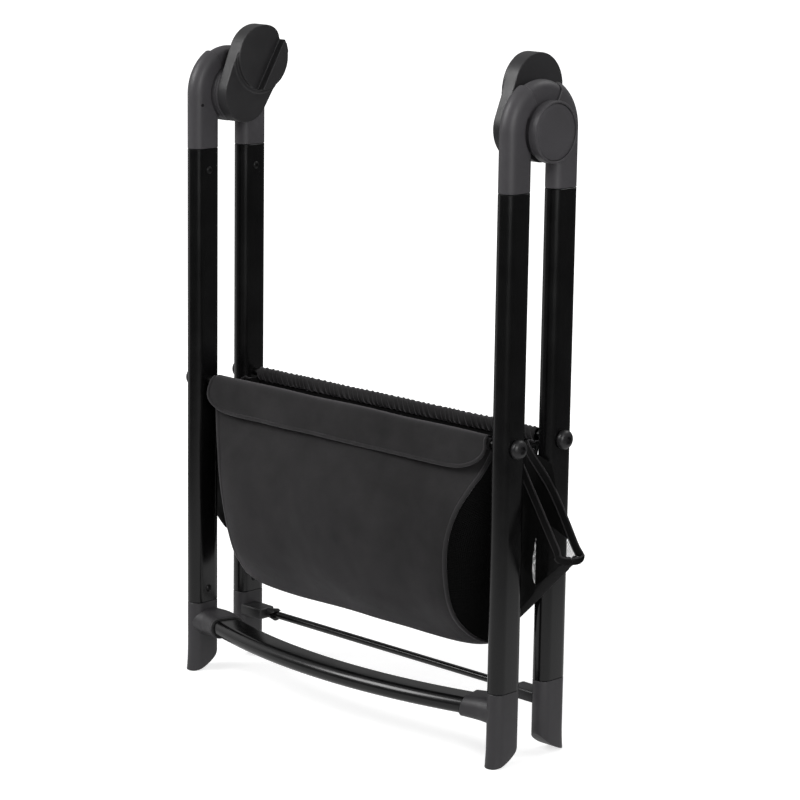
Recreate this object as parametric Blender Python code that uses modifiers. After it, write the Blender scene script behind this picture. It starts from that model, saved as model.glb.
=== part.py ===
"""Folding stand for a carrycot, shown folded: four oval legs on two pivoting hubs, cot brackets,
a bowed front crossbar, a thin rear bar and a hanging storage basket. Metres, +Z up, front at -Y."""
import math

import bmesh
import bpy
from mathutils import Matrix, Vector

for old in list(bpy.data.objects):
    bpy.data.objects.remove(old, do_unlink=True)

# Frame
leg_pitch_x = 0.472        # left leg centre to right leg centre
leg_pitch_y = 0.071        # front leg centre to rear leg centre, folded
hub_height = 0.667         # pivot axis above the floor, folded
fold_deg = 28.0            # each frame swings this far when the stand opens
gap = 0.0003               # clearance between pieces that touch
run_gap = 0.0003           # running clearance between pieces that slide or turn

# Leg tube, a flat oval
tube_deep = 0.038
tube_wide = 0.022
tube_wall = 0.0015
foot_top = 0.081           # joint between foot and tube
elbow_straight = 0.061     # straight part of an elbow, from the tube's end to the hub axis
oval_steps = 6             # facets on each round end of an oval
spigot_length = 0.045      # plug of an elbow or foot inside the tube
spigot_bore_wall = 0.0024

# Elbow and hub
elbow_wall = 0.0015
elbow_spare_deg = 0.7      # what is left between elbow end and top when open
core_reach_deg = 60.0      # the core ring reaches this far each way from the top
arc_step_deg = 10.0
round_steps = 32           # facets round a drum or a bracket lobe
drum_radius = 0.032
drum_relief = 0.0008       # radial room round a drum
relief_step = 0.0006       # how far that room runs past the drum's own face
web_clear = 0.0004         # radial room round the core's web
lap_half = 0.006           # half thickness of the web between the two drums
drum_out = 0.0248          # outer face of the outboard drum, from the leg centre
drum_in = 0.0197           # inner face of the inboard drum, from the leg centre
cup_wall = 0.0027
cup_floor = 0.0033
screw_eye_radius = 0.0018  # small blind hole on the inside of a front elbow
screw_eye_below_axis = 0.012
screw_eye_forward = 0.0125

# Pivot bolt, lock ring and release button
bolt_radius = 0.004
bolt_head_radius = 0.007
bolt_head_height = 0.005
bolt_end_out = 0.0160
nut_radius = 0.0072
nut_height = 0.0058
button_inset = 0.0006
button_cap = 0.0034
button_skirt = 0.0038
button_skirt_wall = 0.002
button_travel = 0.0035
lock_ring_thick = 0.0026
lock_ring_outer = 0.0255
lock_ring_inner = 0.0130
lock_teeth = 12
spring_radius = 0.0110
spring_wire = 0.0006
spring_turns = 3
spring_points = 9          # points on one turn

# Cot bracket on the inside of each hub
bracket_out = 0.0200       # outer face, from the leg centre
bracket_in = 0.0344        # inner face of the lower lobe
puck_in = 0.0394           # inner rim of the upper lobe
guard_in = 0.0400          # inner face of the guard
lobe_radius = 0.0320
puck_radius = 0.0364
puck_reach = 0.0452        # hub axis to upper lobe centre
puck_tilt_deg = 28.0
guard_tilt_deg = 31.0
guard_offset = 0.0172      # upper lobe centre to the guard's straight edge
face_drop = 0.0080         # how deep the face falls beside the guard
face_strip = 0.0050        # flat strip at the foot of the guard
face_ridge = 0.0180        # highest line of the face, forward of the upper lobe's centre
face_lip = 0.0010          # fall from that line to the front edge
face_room = 0.0011         # how far the cut face runs past the upper lobe
rim_step = 0.0012
rim_radius = 0.0405
puck_edge_deg = 3.0        # where the edge round the upper lobe leaves the web
rim_edge_deg = 12.0
bracket_screw_radius = 0.0020
bracket_screw_head = 0.0038
bracket_screw_circle = 0.0190

# Feet
foot_tip_flat = 0.0015
foot_heel_rise = 0.0230
foot_sole_radius = 0.0600
foot_flare = 0.0020
foot_flare_height = 0.030

# Bowed front crossbar, a flat oval lying on its side
bar_height = 0.058
bar_wide = 0.037
bar_thick = 0.018
bar_bow_y = 0.065          # middle of the bar, forward of the hub axis
bar_bend_radius = 0.683
bar_mouth_x = 0.190        # where the bar enters its socket
bar_end_x = 0.214
bar_steps = 16
socket_wall = 0.0028
socket_root_wide = 0.040
socket_root_thick = 0.030

# Straight rear bar and its blocks
rod_height = 0.0605
rod_y = 0.0330
rod_radius = 0.0042
block_outer = 0.005        # block starts this far inside the leg centre
block_inner = 0.040
block_front_y = 0.0160
block_rear_y = 0.0415
block_tall = 0.017
block_edge = 0.002
rod_bury = 0.016
collar_length = 0.013
collar_small = 0.0058
collar_large = 0.0074

# Screws on the inside faces of the legs
elbow_screw_below = 0.0240
foot_screw_above = 0.0160
leg_screw_radius = 0.0020
leg_screw_head = 0.0042
leg_screw_dome = 0.0014
leg_screw_reach = 0.0090

# Basket fixings
knob_height_z = 0.3425
knob_radius = 0.0103
knob_thick = 0.0090
knob_hex = 0.0034
knob_hex_deep = 0.0032
basket_bolt_radius = 0.0030
basket_rod_radius = 0.0045
knob_floor = 0.0012        # wall between the hex recess and the bolt
basket_bolt_grip = 0.022   # how far a bolt reaches into the basket rod

# Basket cloth
cloth = 0.0016
sleeve_wall = 0.0016
sleeve_half = 0.2140
front_sleeve_sides = 12
rear_sleeve_sides = 8
sleeve_ripple = 0.0012
sleeve_ripples = 8
flap_half = 0.2135
flap_corner_wide = 0.0450
flap_corner_tall = 0.0280
flap_drop = 0.0290         # lower edge of the flap below the rod axis
belly_crown = 0.0040       # extra bulge away from the side seams
floor_sag = 0.0100         # the floor hangs this far below its ends
seam_fullness = 10         # power of the fall-off of that bulge and sag towards the side seams
# the side seam of a basket half: drop below the rod axis, distance from the middle plane, half width
seam = [
    (0.0078, 0.0352, 0.2180), (0.0135, 0.0346, 0.2145), (0.0325, 0.0405, 0.2065),
    (0.0525, 0.0490, 0.1960), (0.0725, 0.0558, 0.1868), (0.0925, 0.0598, 0.1806),
    (0.1125, 0.0610, 0.1764), (0.1325, 0.0594, 0.1740), (0.1525, 0.0560, 0.1726),
    (0.1725, 0.0508, 0.1718), (0.1875, 0.0448, 0.1722), (0.1975, 0.0388, 0.1728),
    (0.2075, 0.0305, 0.1748), (0.2165, 0.0212, 0.1790), (0.2220, 0.0135, 0.1840),
    (0.2245, 0.0065, 0.1872), (0.2255, 0.0000, 0.1886),
]
mesh_cloth = 0.0010
mesh_seam_gap = 0.0012     # between a basket half's edge and the mesh
mesh_leg_clear = 0.0020    # the mesh turns outward this far inside the leg
mesh_pass_y = 0.0105       # how far from the middle plane it passes between the legs
mesh_tip_x = 0.2950        # outer end of the fold line
mesh_tip_z = 0.2280
mesh_tip_front = 0.0060    # the two layers at that end, forward and rearward of the middle plane
mesh_tip_rear = 0.0160
mesh_columns = 10          # five stations on each layer, from the seam to the fold line

# Working values
half_x = leg_pitch_x / 2
half_y = leg_pitch_y / 2
tube_top = hub_height - elbow_straight
tube_length = tube_top - foot_top
elbow_end_deg = fold_deg + elbow_spare_deg
spigot_deep = tube_deep - 2 * (tube_wall + gap)
spigot_wide = tube_wide - 2 * (tube_wall + gap)
core_deep = tube_deep - 2 * (elbow_wall + run_gap)
core_wide = tube_wide - 2 * (elbow_wall + run_gap)
basket_drop_axis = hub_height - 2 * (hub_height - knob_height_z)


# Collections and materials
parts = bpy.data.collections.new("bassinet_stand")
cutters = bpy.data.collections.new("cutters")
bpy.context.scene.collection.children.link(parts)
bpy.context.scene.collection.children.link(cutters)


def material(name, colour, roughness, metallic=0.0):
    m = bpy.data.materials.new(name)
    m.use_nodes = True
    shader = m.node_tree.nodes["Principled BSDF"]
    shader.inputs["Base Color"].default_value = (*colour, 1)
    shader.inputs["Roughness"].default_value = roughness
    shader.inputs["Metallic"].default_value = metallic
    m.diffuse_color = (*colour, 1)
    return m


tube_black = material("tube_gloss_black", (0.012, 0.011, 0.013), 0.16)
plastic = material("charcoal_plastic", (0.055, 0.053, 0.060), 0.55)
steel = material("zinc_steel", (0.45, 0.45, 0.46), 0.35, 1.0)
dark_steel = material("black_steel", (0.03, 0.03, 0.032), 0.30, 0.9)
cloth_dark = material("basket_cloth", (0.030, 0.028, 0.030), 0.80)
mesh_dark = material("mesh_net", (0.012, 0.012, 0.013), 0.70)


# Helpers
def put(obj, mat, collection=parts):
    for c in list(obj.users_collection):
        c.objects.unlink(obj)
    collection.objects.link(obj)
    if mat is not None:
        obj.data.materials.clear()
        obj.data.materials.append(mat)
    if collection is cutters:
        obj.hide_render = True
        obj.display_type = "WIRE"
    return obj


def from_bmesh(name, bm, mat, collection=parts):
    bmesh.ops.recalc_face_normals(bm, faces=bm.faces)
    mesh = bpy.data.meshes.new(name)
    bm.to_mesh(mesh)
    bm.free()
    obj = bpy.data.objects.new(name, mesh)
    return put(obj, mat, collection)


def smooth(obj, angle=35.0):
    for p in obj.data.polygons:
        p.use_smooth = True
    obj.data.set_sharp_from_angle(angle=math.radians(angle))
    return obj


def oval(deep, wide, steps=oval_steps):
    """Outline of a flat oval, wide along x and deep along y."""
    r, c = wide / 2, (deep - wide) / 2
    turns = [math.pi * k / steps for k in range(steps + 1)]
    pts = [(r * math.cos(a), c + r * math.sin(a)) for a in turns]
    return pts + [(-x, -y) for x, y in pts]


def ring(radius, steps=32):
    return [(radius * math.cos(2 * math.pi * k / steps), radius * math.sin(2 * math.pi * k / steps))
            for k in range(steps)]


def outline_curve(name, loops):
    data = bpy.data.curves.new(name, "CURVE")
    data.dimensions = "2D"
    data.fill_mode = "BOTH"
    for loop in loops:
        line = data.splines.new("POLY")
        line.points.add(len(loop) - 1)
        for p, (x, y) in zip(line.points, loop):
            p.co = (x, y, 0, 1)
        line.use_cyclic_u = True
    return data


def curve_to_solid(name, data, frame, mat, collection=parts):
    """Turns a curve into a welded mesh whose local axes stand as the frame matrix says."""
    temp = bpy.data.objects.new(name + "_curve", data)
    bpy.context.scene.collection.objects.link(temp)
    bpy.context.view_layer.update()
    graph = bpy.context.evaluated_depsgraph_get()
    mesh = bpy.data.meshes.new_from_object(temp.evaluated_get(graph))
    bpy.data.objects.remove(temp, do_unlink=True)
    mesh.name = name
    bm = bmesh.new()
    bm.from_mesh(mesh)
    bmesh.ops.remove_doubles(bm, verts=bm.verts, dist=0.00001)
    bmesh.ops.recalc_face_normals(bm, faces=bm.faces)
    bm.to_mesh(mesh)
    bm.free()
    obj = bpy.data.objects.new(name, mesh)
    obj.matrix_world = frame
    return put(obj, mat, collection)


def axes(x_axis, y_axis, z_axis, at):
    m = Matrix.Identity(4)
    for i, axis in enumerate((x_axis, y_axis, z_axis)):
        for j in range(3):
            m[j][i] = axis[j]
    m.translation = Vector(at)
    return m


def upright(at):
    return axes((1, 0, 0), (0, 1, 0), (0, 0, 1), at)


def along_x(at):
    """Local x and y lie along world Y and Z, and local z along world X."""
    return axes((0, 1, 0), (0, 0, 1), (1, 0, 0), at)


def extrusion(name, loops, length, frame, mat, collection=parts):
    data = outline_curve(name, loops)
    data.extrude = length / 2
    return curve_to_solid(name, data, frame, mat, collection)


def sweep(name, path, in_plane, across, frame, mat, collection=parts):
    """Sweeps an oval along a flat path.

    in_plane is the oval's size in the path's plane, across its size square to it.
    """
    section = bpy.data.objects.new(name + "_section", outline_curve(name + "_section", [
        [(y, x) for x, y in oval(in_plane, across)] if in_plane > across else oval(across, in_plane)]))
    data = bpy.data.curves.new(name, "CURVE")
    data.dimensions = "2D"
    data.fill_mode = "NONE"
    data.bevel_mode = "OBJECT"
    data.bevel_object = section
    data.use_fill_caps = True
    line = data.splines.new("POLY")
    line.points.add(len(path) - 1)
    for p, (x, y) in zip(line.points, path):
        p.co = (x, y, 0, 1)
    bpy.context.scene.collection.objects.link(section)
    obj = curve_to_solid(name, data, frame, mat, collection)
    bpy.data.objects.remove(section, do_unlink=True)
    return obj


def cylinder_x(name, radius, xa, xb, y, z, mat, steps=40, radius_b=None, collection=parts):
    """A cylinder or cone along X from xa to xb."""
    if xb < xa:
        xa, xb = xb, xa
        if radius_b is not None:
            radius, radius_b = radius_b, radius
    bm = bmesh.new()
    bmesh.ops.create_cone(bm, cap_ends=True, segments=steps, radius1=radius,
                          radius2=radius if radius_b is None else radius_b, depth=xb - xa,
                          matrix=Matrix.Rotation(math.pi / 2, 4, "Y"))
    obj = from_bmesh(name, bm, mat, collection)
    obj.location = ((xa + xb) / 2, y, z)
    return obj


def box(name, low, high, mat, collection=parts, edge=0.0):
    bm = bmesh.new()
    bmesh.ops.create_cube(bm, size=1.0)
    size = [b - a for a, b in zip(low, high)]
    bmesh.ops.scale(bm, vec=size, verts=bm.verts)
    if edge:
        bmesh.ops.bevel(bm, geom=bm.edges[:], offset=edge, segments=3, affect="EDGES", profile=0.5)
    obj = from_bmesh(name, bm, mat, collection)
    obj.location = [(a + b) / 2 for a, b in zip(low, high)]
    return obj


def turned_x(name, profile, side, at, mat, steps=32):
    """A profile of (radius, height) from the top down, turned about X; its top points to side along X."""
    bm = bmesh.new()
    verts = [bm.verts.new((r, 0, h)) for r, h in profile]
    for a, b in zip(verts, verts[1:]):
        bm.edges.new((a, b))
    mesh = bpy.data.meshes.new(name)
    bm.to_mesh(mesh)
    bm.free()
    obj = put(bpy.data.objects.new(name, mesh), mat)
    turn = obj.modifiers.new("Turn", "SCREW")
    turn.axis = "Z"
    turn.angle = 2 * math.pi
    turn.steps = steps
    turn.render_steps = steps
    turn.use_merge_vertices = True
    turn.merge_threshold = 0.00001
    turn.use_smooth_shade = True
    obj.rotation_euler = (0, side * math.pi / 2, 0)
    obj.location = at
    return obj


def boolean(target, other, operation):
    """Adds, cuts or intersects, keeping the other solid as a hidden cutter that moves with the target."""
    put(other, None, cutters)
    bpy.context.view_layer.update()
    other.parent = target
    other.matrix_parent_inverse = target.matrix_world.inverted()
    step = target.modifiers.new(operation.title(), "BOOLEAN")
    step.object = other
    step.operation = operation
    step.solver = "EXACT"
    return target


def cut(target, other):
    return boolean(target, other, "DIFFERENCE")


def add(target, other):
    return boolean(target, other, "UNION")


def ease(points, t):
    """A smooth curve through stations of equal weight; t runs from 0 to 1."""
    n = len(points) - 1
    k = min(int(t * n), n - 1)
    f = t * n - k
    a, b, c, d = (points[max(k - 1, 0)], points[k], points[k + 1], points[min(k + 2, n)])
    out = []
    for i in range(len(b)):
        out.append(0.5 * (2 * b[i] + (c[i] - a[i]) * f + (2 * a[i] - 5 * b[i] + 4 * c[i] - d[i]) * f * f
                          + (3 * b[i] - a[i] - 3 * c[i] + d[i]) * f ** 3))
    return out


def sheet(name, place, across, down, thick, mat):
    """A grid whose points are placed by a function of two shares, thickened to a closed solid."""
    bm = bmesh.new()
    bmesh.ops.create_grid(bm, x_segments=across, y_segments=down, size=0.5)
    for v in bm.verts:
        v.co = Vector(place(v.co.x + 0.5, v.co.y + 0.5))
    obj = from_bmesh(name, bm, mat)
    solid = obj.modifiers.new("Cloth", "SOLIDIFY")
    solid.thickness = thick
    solid.offset = 0
    solid.use_even_offset = True
    return obj


def axis_empty(name, at, parent=None):
    e = bpy.data.objects.new(name, None)
    e.empty_display_size = 0.03
    parts.objects.link(e)
    e.location = at
    if parent is not None:
        bpy.context.view_layer.update()
        e.parent = parent
        e.matrix_parent_inverse = parent.matrix_world.inverted()
    return e


def ride(obj, empty):
    bpy.context.view_layer.update()
    obj.parent = empty
    obj.matrix_parent_inverse = empty.matrix_world.inverted()
    return obj


root = axis_empty("stand_root", (0, 0, 0))
hub = axis_empty("hub_axis", (0, 0, hub_height), root)
front = axis_empty("front_fold_axis", (0, 0, hub_height), root)
rear = axis_empty("rear_fold_axis", (0, 0, hub_height), root)
sling_front = axis_empty("basket_front_axis", (0, -half_y, knob_height_z), front)
sling_rear = axis_empty("basket_rear_axis", (0, 0, basket_drop_axis), sling_front)
frame_of = {-1: front, 1: rear}
word = {-1: "front", 1: "rear"}
hand = {-1: "left", 1: "right"}


def arc(deg_from, deg_to, end):
    """Path points about the hub axis in (y, z), angles from the top toward the frame on side end."""
    n = max(2, round(abs(deg_to - deg_from) / arc_step_deg))
    pts = []
    for k in range(n + 1):
        a = math.radians(deg_from + (deg_to - deg_from) * k / n)
        pts.append((end * half_y * math.sin(a), half_y * math.cos(a)))
    return pts


def elbow(side, end):
    """Plastic elbow from the tube top over the hub, with its drum."""
    x = side * half_x
    name = f"{word[end]}_elbow_{hand[side]}"
    path = [(end * half_y, tube_top + gap - hub_height)] + arc(90, elbow_end_deg, end)
    obj = sweep(name, path, tube_deep, tube_wide, along_x((x, 0, hub_height)), plastic)
    spigot_low = tube_top - spigot_length
    spigot_high = tube_top + 0.004
    add(obj, extrusion(name + "_spigot", [oval(spigot_deep, spigot_wide)], spigot_high - spigot_low,
                       upright((x, end * half_y, (spigot_low + spigot_high) / 2)), None))
    bore_top = hub_height - 0.012
    bore = oval(spigot_deep - 2 * spigot_bore_wall, spigot_wide - 2 * spigot_bore_wall)
    cut(obj, extrusion(name + "_bore", [bore], bore_top - spigot_low + 0.01,
                       upright((x, end * half_y, (bore_top + spigot_low - 0.01) / 2)), None))
    past = [(end * half_y * math.sin(math.radians(elbow_end_deg - 4)),
             half_y * math.cos(math.radians(elbow_end_deg - 4)))]
    hollow = [(end * half_y, -0.006)] + arc(90, elbow_end_deg, end) + past
    cut(obj, sweep(name + "_hollow", hollow, core_deep + 2 * run_gap, core_wide + 2 * run_gap,
                   along_x((x, 0, hub_height)), None))
    lap = side * (1 if end < 0 else -1)      # the front drum is outboard, the rear drum inboard
    cut(obj, cylinder_x(name + "_relief", drum_radius + drum_relief, x - lap * 0.02,
                        x + lap * (lap_half + relief_step), 0, hub_height, None, steps=round_steps))
    far = drum_out if end < 0 else drum_in
    add(obj, cylinder_x(name + "_drum", drum_radius, x + lap * lap_half, x + lap * far,
                        0, hub_height, None, steps=round_steps))
    cut(obj, cylinder_x(name + "_bolt_hole", bolt_radius + run_gap, x - 0.03, x + 0.03,
                        0, hub_height, None, steps=20))
    if end < 0:
        cut(obj, cylinder_x(name + "_cup", drum_radius - cup_wall, x + lap * (lap_half + cup_floor),
                            x + lap * (drum_out + 0.01), 0, hub_height, None, steps=round_steps))
        cut(obj, cylinder_x(name + "_screw_eye", screw_eye_radius, x - side * tube_wide, x - side * 0.006,
                            -half_y - screw_eye_forward, hub_height - screw_eye_below_axis, None, steps=12))
    else:
        pocket_floor = drum_in - bolt_head_height - 0.001
        cut(obj, cylinder_x(name + "_head_pocket", bolt_head_radius + 0.0012, x + lap * pocket_floor,
                            x + lap * (drum_in + 0.01), 0, hub_height, None, steps=28))
        for k in (-1, 1):
            z = hub_height + k * bracket_screw_circle
            cut(obj, cylinder_x(f"{name}_screw_hole_{k}", bracket_screw_radius + gap, x,
                                x + lap * (drum_in + 0.01), 0, z, None, steps=16))
            cut(obj, cylinder_x(f"{name}_screw_seat_{k}", bracket_screw_head + gap, x,
                                x + lap * (lap_half + 0.0037), 0, z, None, steps=16))
    cut(obj, cylinder_x(name + "_fix_hole", leg_screw_radius + gap / 2, x, x - side * tube_wide,
                        end * half_y, tube_top - elbow_screw_below, None, steps=12))
    smooth(obj)
    return ride(obj, frame_of[end])


def hub_core(side):
    """The ring piece between the two elbows, with the web that both drums turn on."""
    x = side * half_x
    name = f"hub_core_{hand[side]}"
    path = list(reversed(arc(0, core_reach_deg, -1))) + arc(0, core_reach_deg, 1)[1:]
    obj = sweep(name, path, core_deep, core_wide, along_x((x, 0, hub_height)), plastic)
    for s in (-1, 1):
        lap_face = lap_half - run_gap - relief_step
        cut(obj, cylinder_x(f"{name}_lap_{s}", drum_radius + drum_relief, x + s * lap_face, x + s * 0.02,
                            0, hub_height, None, steps=round_steps))
    add(obj, cylinder_x(name + "_web", drum_radius + drum_relief - web_clear, x - lap_half + run_gap,
                        x + lap_half - run_gap, 0, hub_height, None, steps=round_steps))
    cut(obj, cylinder_x(name + "_bolt_hole", bolt_radius + run_gap, x - 0.02, x + 0.02,
                        0, hub_height, None, steps=20))
    smooth(obj)
    return ride(obj, hub)


def hub_inside(side):
    """Pivot bolt, nut, lock ring, spring and release button of one hub."""
    x, h = side * half_x, hand[side]
    head_out = x - side * (drum_in - 0.0005)
    bolt = cylinder_x(f"pivot_bolt_{h}", bolt_radius, x - side * (drum_in - bolt_head_height),
                      x + side * bolt_end_out, 0, hub_height, dark_steel, steps=20)
    add(bolt, cylinder_x(f"pivot_bolt_{h}_head", bolt_head_radius, head_out,
                         x - side * (drum_in - bolt_head_height - 0.0005), 0, hub_height, None, steps=28))
    ride(smooth(bolt), hub)
    seat = lap_half + cup_floor + gap
    nut = extrusion(f"pivot_nut_{h}", [ring(nut_radius, 6), ring(bolt_radius + run_gap, 20)], nut_height,
                    along_x((x + side * (seat + nut_height / 2), 0, hub_height)), steel)
    ride(nut, hub)
    teeth = []
    for k in range(lock_teeth * 4):
        r = lock_ring_outer if (k // 2) % 2 == 0 else lock_ring_outer - 0.003
        a = 2 * math.pi * k / (lock_teeth * 4)
        teeth.append((r * math.cos(a), r * math.sin(a)))
    lock = extrusion(f"lock_ring_{h}", [teeth, ring(lock_ring_inner, 32)], lock_ring_thick,
                     along_x((x + side * (seat + lock_ring_thick / 2), 0, hub_height)), steel)
    ride(lock, hub)
    cap_out = drum_out - button_inset
    cap_in = cap_out - button_cap
    rim = drum_radius - cup_wall - run_gap
    button = turned_x(f"release_button_{h}", [
        (0, cap_out), (0.020, cap_out - 0.0002), (rim - 0.0010, cap_out - 0.0004), (rim, cap_out - 0.0012),
        (rim, cap_in - button_skirt), (rim - button_skirt_wall, cap_in - button_skirt),
        (rim - button_skirt_wall, cap_in), (0, cap_in)],
        side, (x, 0, hub_height), plastic, steps=round_steps)
    press = axis_empty(f"button_axis_{h}", (x, 0, hub_height), hub)
    ride(button, press)
    low, high = seat + spring_wire, cap_in - gap - spring_wire
    data = bpy.data.curves.new(f"button_spring_{h}", "CURVE")
    data.dimensions = "3D"
    data.bevel_depth = spring_wire
    data.bevel_resolution = 1
    data.use_fill_caps = True
    count = spring_turns * spring_points
    line = data.splines.new("POLY")
    line.points.add(count)
    for k, p in enumerate(line.points):
        a = 2 * math.pi * spring_turns * k / count
        out = side * (low + (high - low) * k / count)
        p.co = (spring_radius * math.cos(a), spring_radius * math.sin(a), out, 1)
    spring = curve_to_solid(f"button_spring_{h}", data, along_x((x, 0, hub_height)), steel)
    ride(smooth(spring), hub)
    pitch = (high - low) / spring_turns
    print(f"spring {h}: gap between turns {1000 * (pitch - 2 * spring_wire):.2f} mm")


def tangent_outline(r1, r2, reach, steps=16):
    """Outline round two circles, the second straight above the first."""
    lean = math.asin((r1 - r2) / reach)
    pts = []
    for k in range(steps + 1):
        a = math.pi - lean + (math.pi + 2 * lean) * k / steps
        pts.append((r1 * math.cos(a), r1 * math.sin(a)))
    for k in range(steps + 1):
        a = lean + (math.pi - 2 * lean) * k / steps
        pts.append((r2 * math.cos(a), reach + r2 * math.sin(a)))
    return pts


def bracket(side):
    """Cot bracket: a two-lobed plate, the upper lobe with a curved face that falls away beside a guard."""
    x, h = side * half_x, hand[side]
    name = f"cot_bracket_{h}"
    inward = -side
    tilt = math.radians(puck_tilt_deg)
    up = (0, math.sin(tilt), math.cos(tilt))
    back = (0, math.cos(tilt), -math.sin(tilt))

    frame = axes(back, up, (1, 0, 0), (0, 0, 0))

    def plate(label, loop, near, far):
        at = Matrix.Translation((x + inward * (near + far) / 2, 0, hub_height))
        return extrusion(label, [loop], far - near, at @ frame, plastic)

    def below(radius, leave_deg):
        """Everything under a circle round the upper lobe's centre."""
        turn = math.radians(180 - 2 * leave_deg)
        start = math.radians(leave_deg)
        turns = [start + turn * k / 18 for k in range(19)]
        loop = [(radius * math.cos(a), puck_reach - radius * math.sin(a)) for a in turns]
        side_z = loop[0][1]
        return loop + [(-0.08, side_z), (-0.08, -0.08), (0.08, -0.08), (0.08, side_z)]

    obj = plate(name, tangent_outline(lobe_radius, puck_radius, puck_reach), bracket_out, guard_in)
    py, pz = puck_reach * math.sin(tilt), hub_height + puck_reach * math.cos(tilt)
    cut(obj, plate(name + "_puck_edge", below(puck_radius, puck_edge_deg), bracket_in + rim_step,
                   guard_in + 0.01))
    cut(obj, plate(name + "_rim_edge", below(rim_radius, rim_edge_deg), bracket_in, guard_in + 0.012))
    g = math.radians(guard_tilt_deg)
    out_u = (0, math.cos(g), -math.sin(g))
    along = (0, math.sin(g), math.cos(g)) if side > 0 else (0, -math.sin(g), -math.cos(g))
    clear = 2 * puck_radius
    foot_u = guard_offset - face_strip
    shape = [(guard_offset, clear), (-clear, clear), (-clear, puck_in - face_lip)]
    for k in range(7):
        t = k / 6
        shape.append((-puck_radius + (puck_radius - face_ridge) * t, puck_in - face_lip * (1 - t) ** 2))
    for k in range(1, 13):
        t = k / 12
        shape.append((-face_ridge + (foot_u + face_ridge) * t, puck_in - face_drop * t * t))
    shape.append((guard_offset, puck_in - face_drop))
    face = extrusion(name + "_face", [shape], 0.2, axes(out_u, (inward, 0, 0), along, (x, py, pz)), None)
    boolean(face, cylinder_x(name + "_face_reach", puck_radius + face_room, x, x + inward * clear,
                             py, pz, None), "INTERSECT")
    cut(obj, face)
    for k in (-1, 1):
        cut(obj, cylinder_x(f"{name}_hole_{k}", bracket_screw_radius + gap,
                            x + inward * (bracket_out - 0.001), x + inward * (bracket_out + 0.0115),
                            0, hub_height + k * bracket_screw_circle, None, steps=16))
    smooth(obj, 30)
    ride(obj, rear)
    for word_z, k in (("upper", 1), ("lower", -1)):
        profile = [(0, bracket_out + 0.0110), (bracket_screw_radius, bracket_out + 0.0110),
                   (bracket_screw_radius, lap_half + 0.0034), (bracket_screw_head, lap_half + 0.0034),
                   (bracket_screw_head, lap_half + 0.0004), (0, lap_half + 0.0004)]
        screw = turned_x(f"bracket_screw_{word_z}_{h}", profile, inward,
                         (x, 0, hub_height + k * bracket_screw_circle), steel, steps=16)
        ride(screw, rear)


def leg(side, end):
    x, y = side * half_x, end * half_y
    name = f"{word[end]}_leg_{hand[side]}"
    outside = oval(tube_deep, tube_wide)
    inside = oval(tube_deep - 2 * tube_wall, tube_wide - 2 * tube_wall)
    tube = extrusion(name, [outside, inside], tube_length - 2 * gap,
                     upright((x, y, foot_top + tube_length / 2)), tube_black)
    cut(tube, cylinder_x(name + "_bolt_hole", basket_bolt_radius + gap, x - 0.03, x + 0.03,
                         y, knob_height_z, None, steps=20))
    for z in (tube_top - elbow_screw_below, foot_top + foot_screw_above):
        cut(tube, cylinder_x(f"{name}_hole_{z:.3f}", leg_screw_radius + gap, x, x - side * 0.03,
                             y, z, None, steps=12))
    smooth(tube)
    return ride(tube, frame_of[end])


def bar_y(x):
    return -(bar_bow_y - (bar_bend_radius - math.sqrt(bar_bend_radius ** 2 - x * x)))


def bar_path(x_from, x_to, steps):
    return [(x_from + (x_to - x_from) * k / steps, bar_y(x_from + (x_to - x_from) * k / steps))
            for k in range(steps + 1)]


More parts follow.
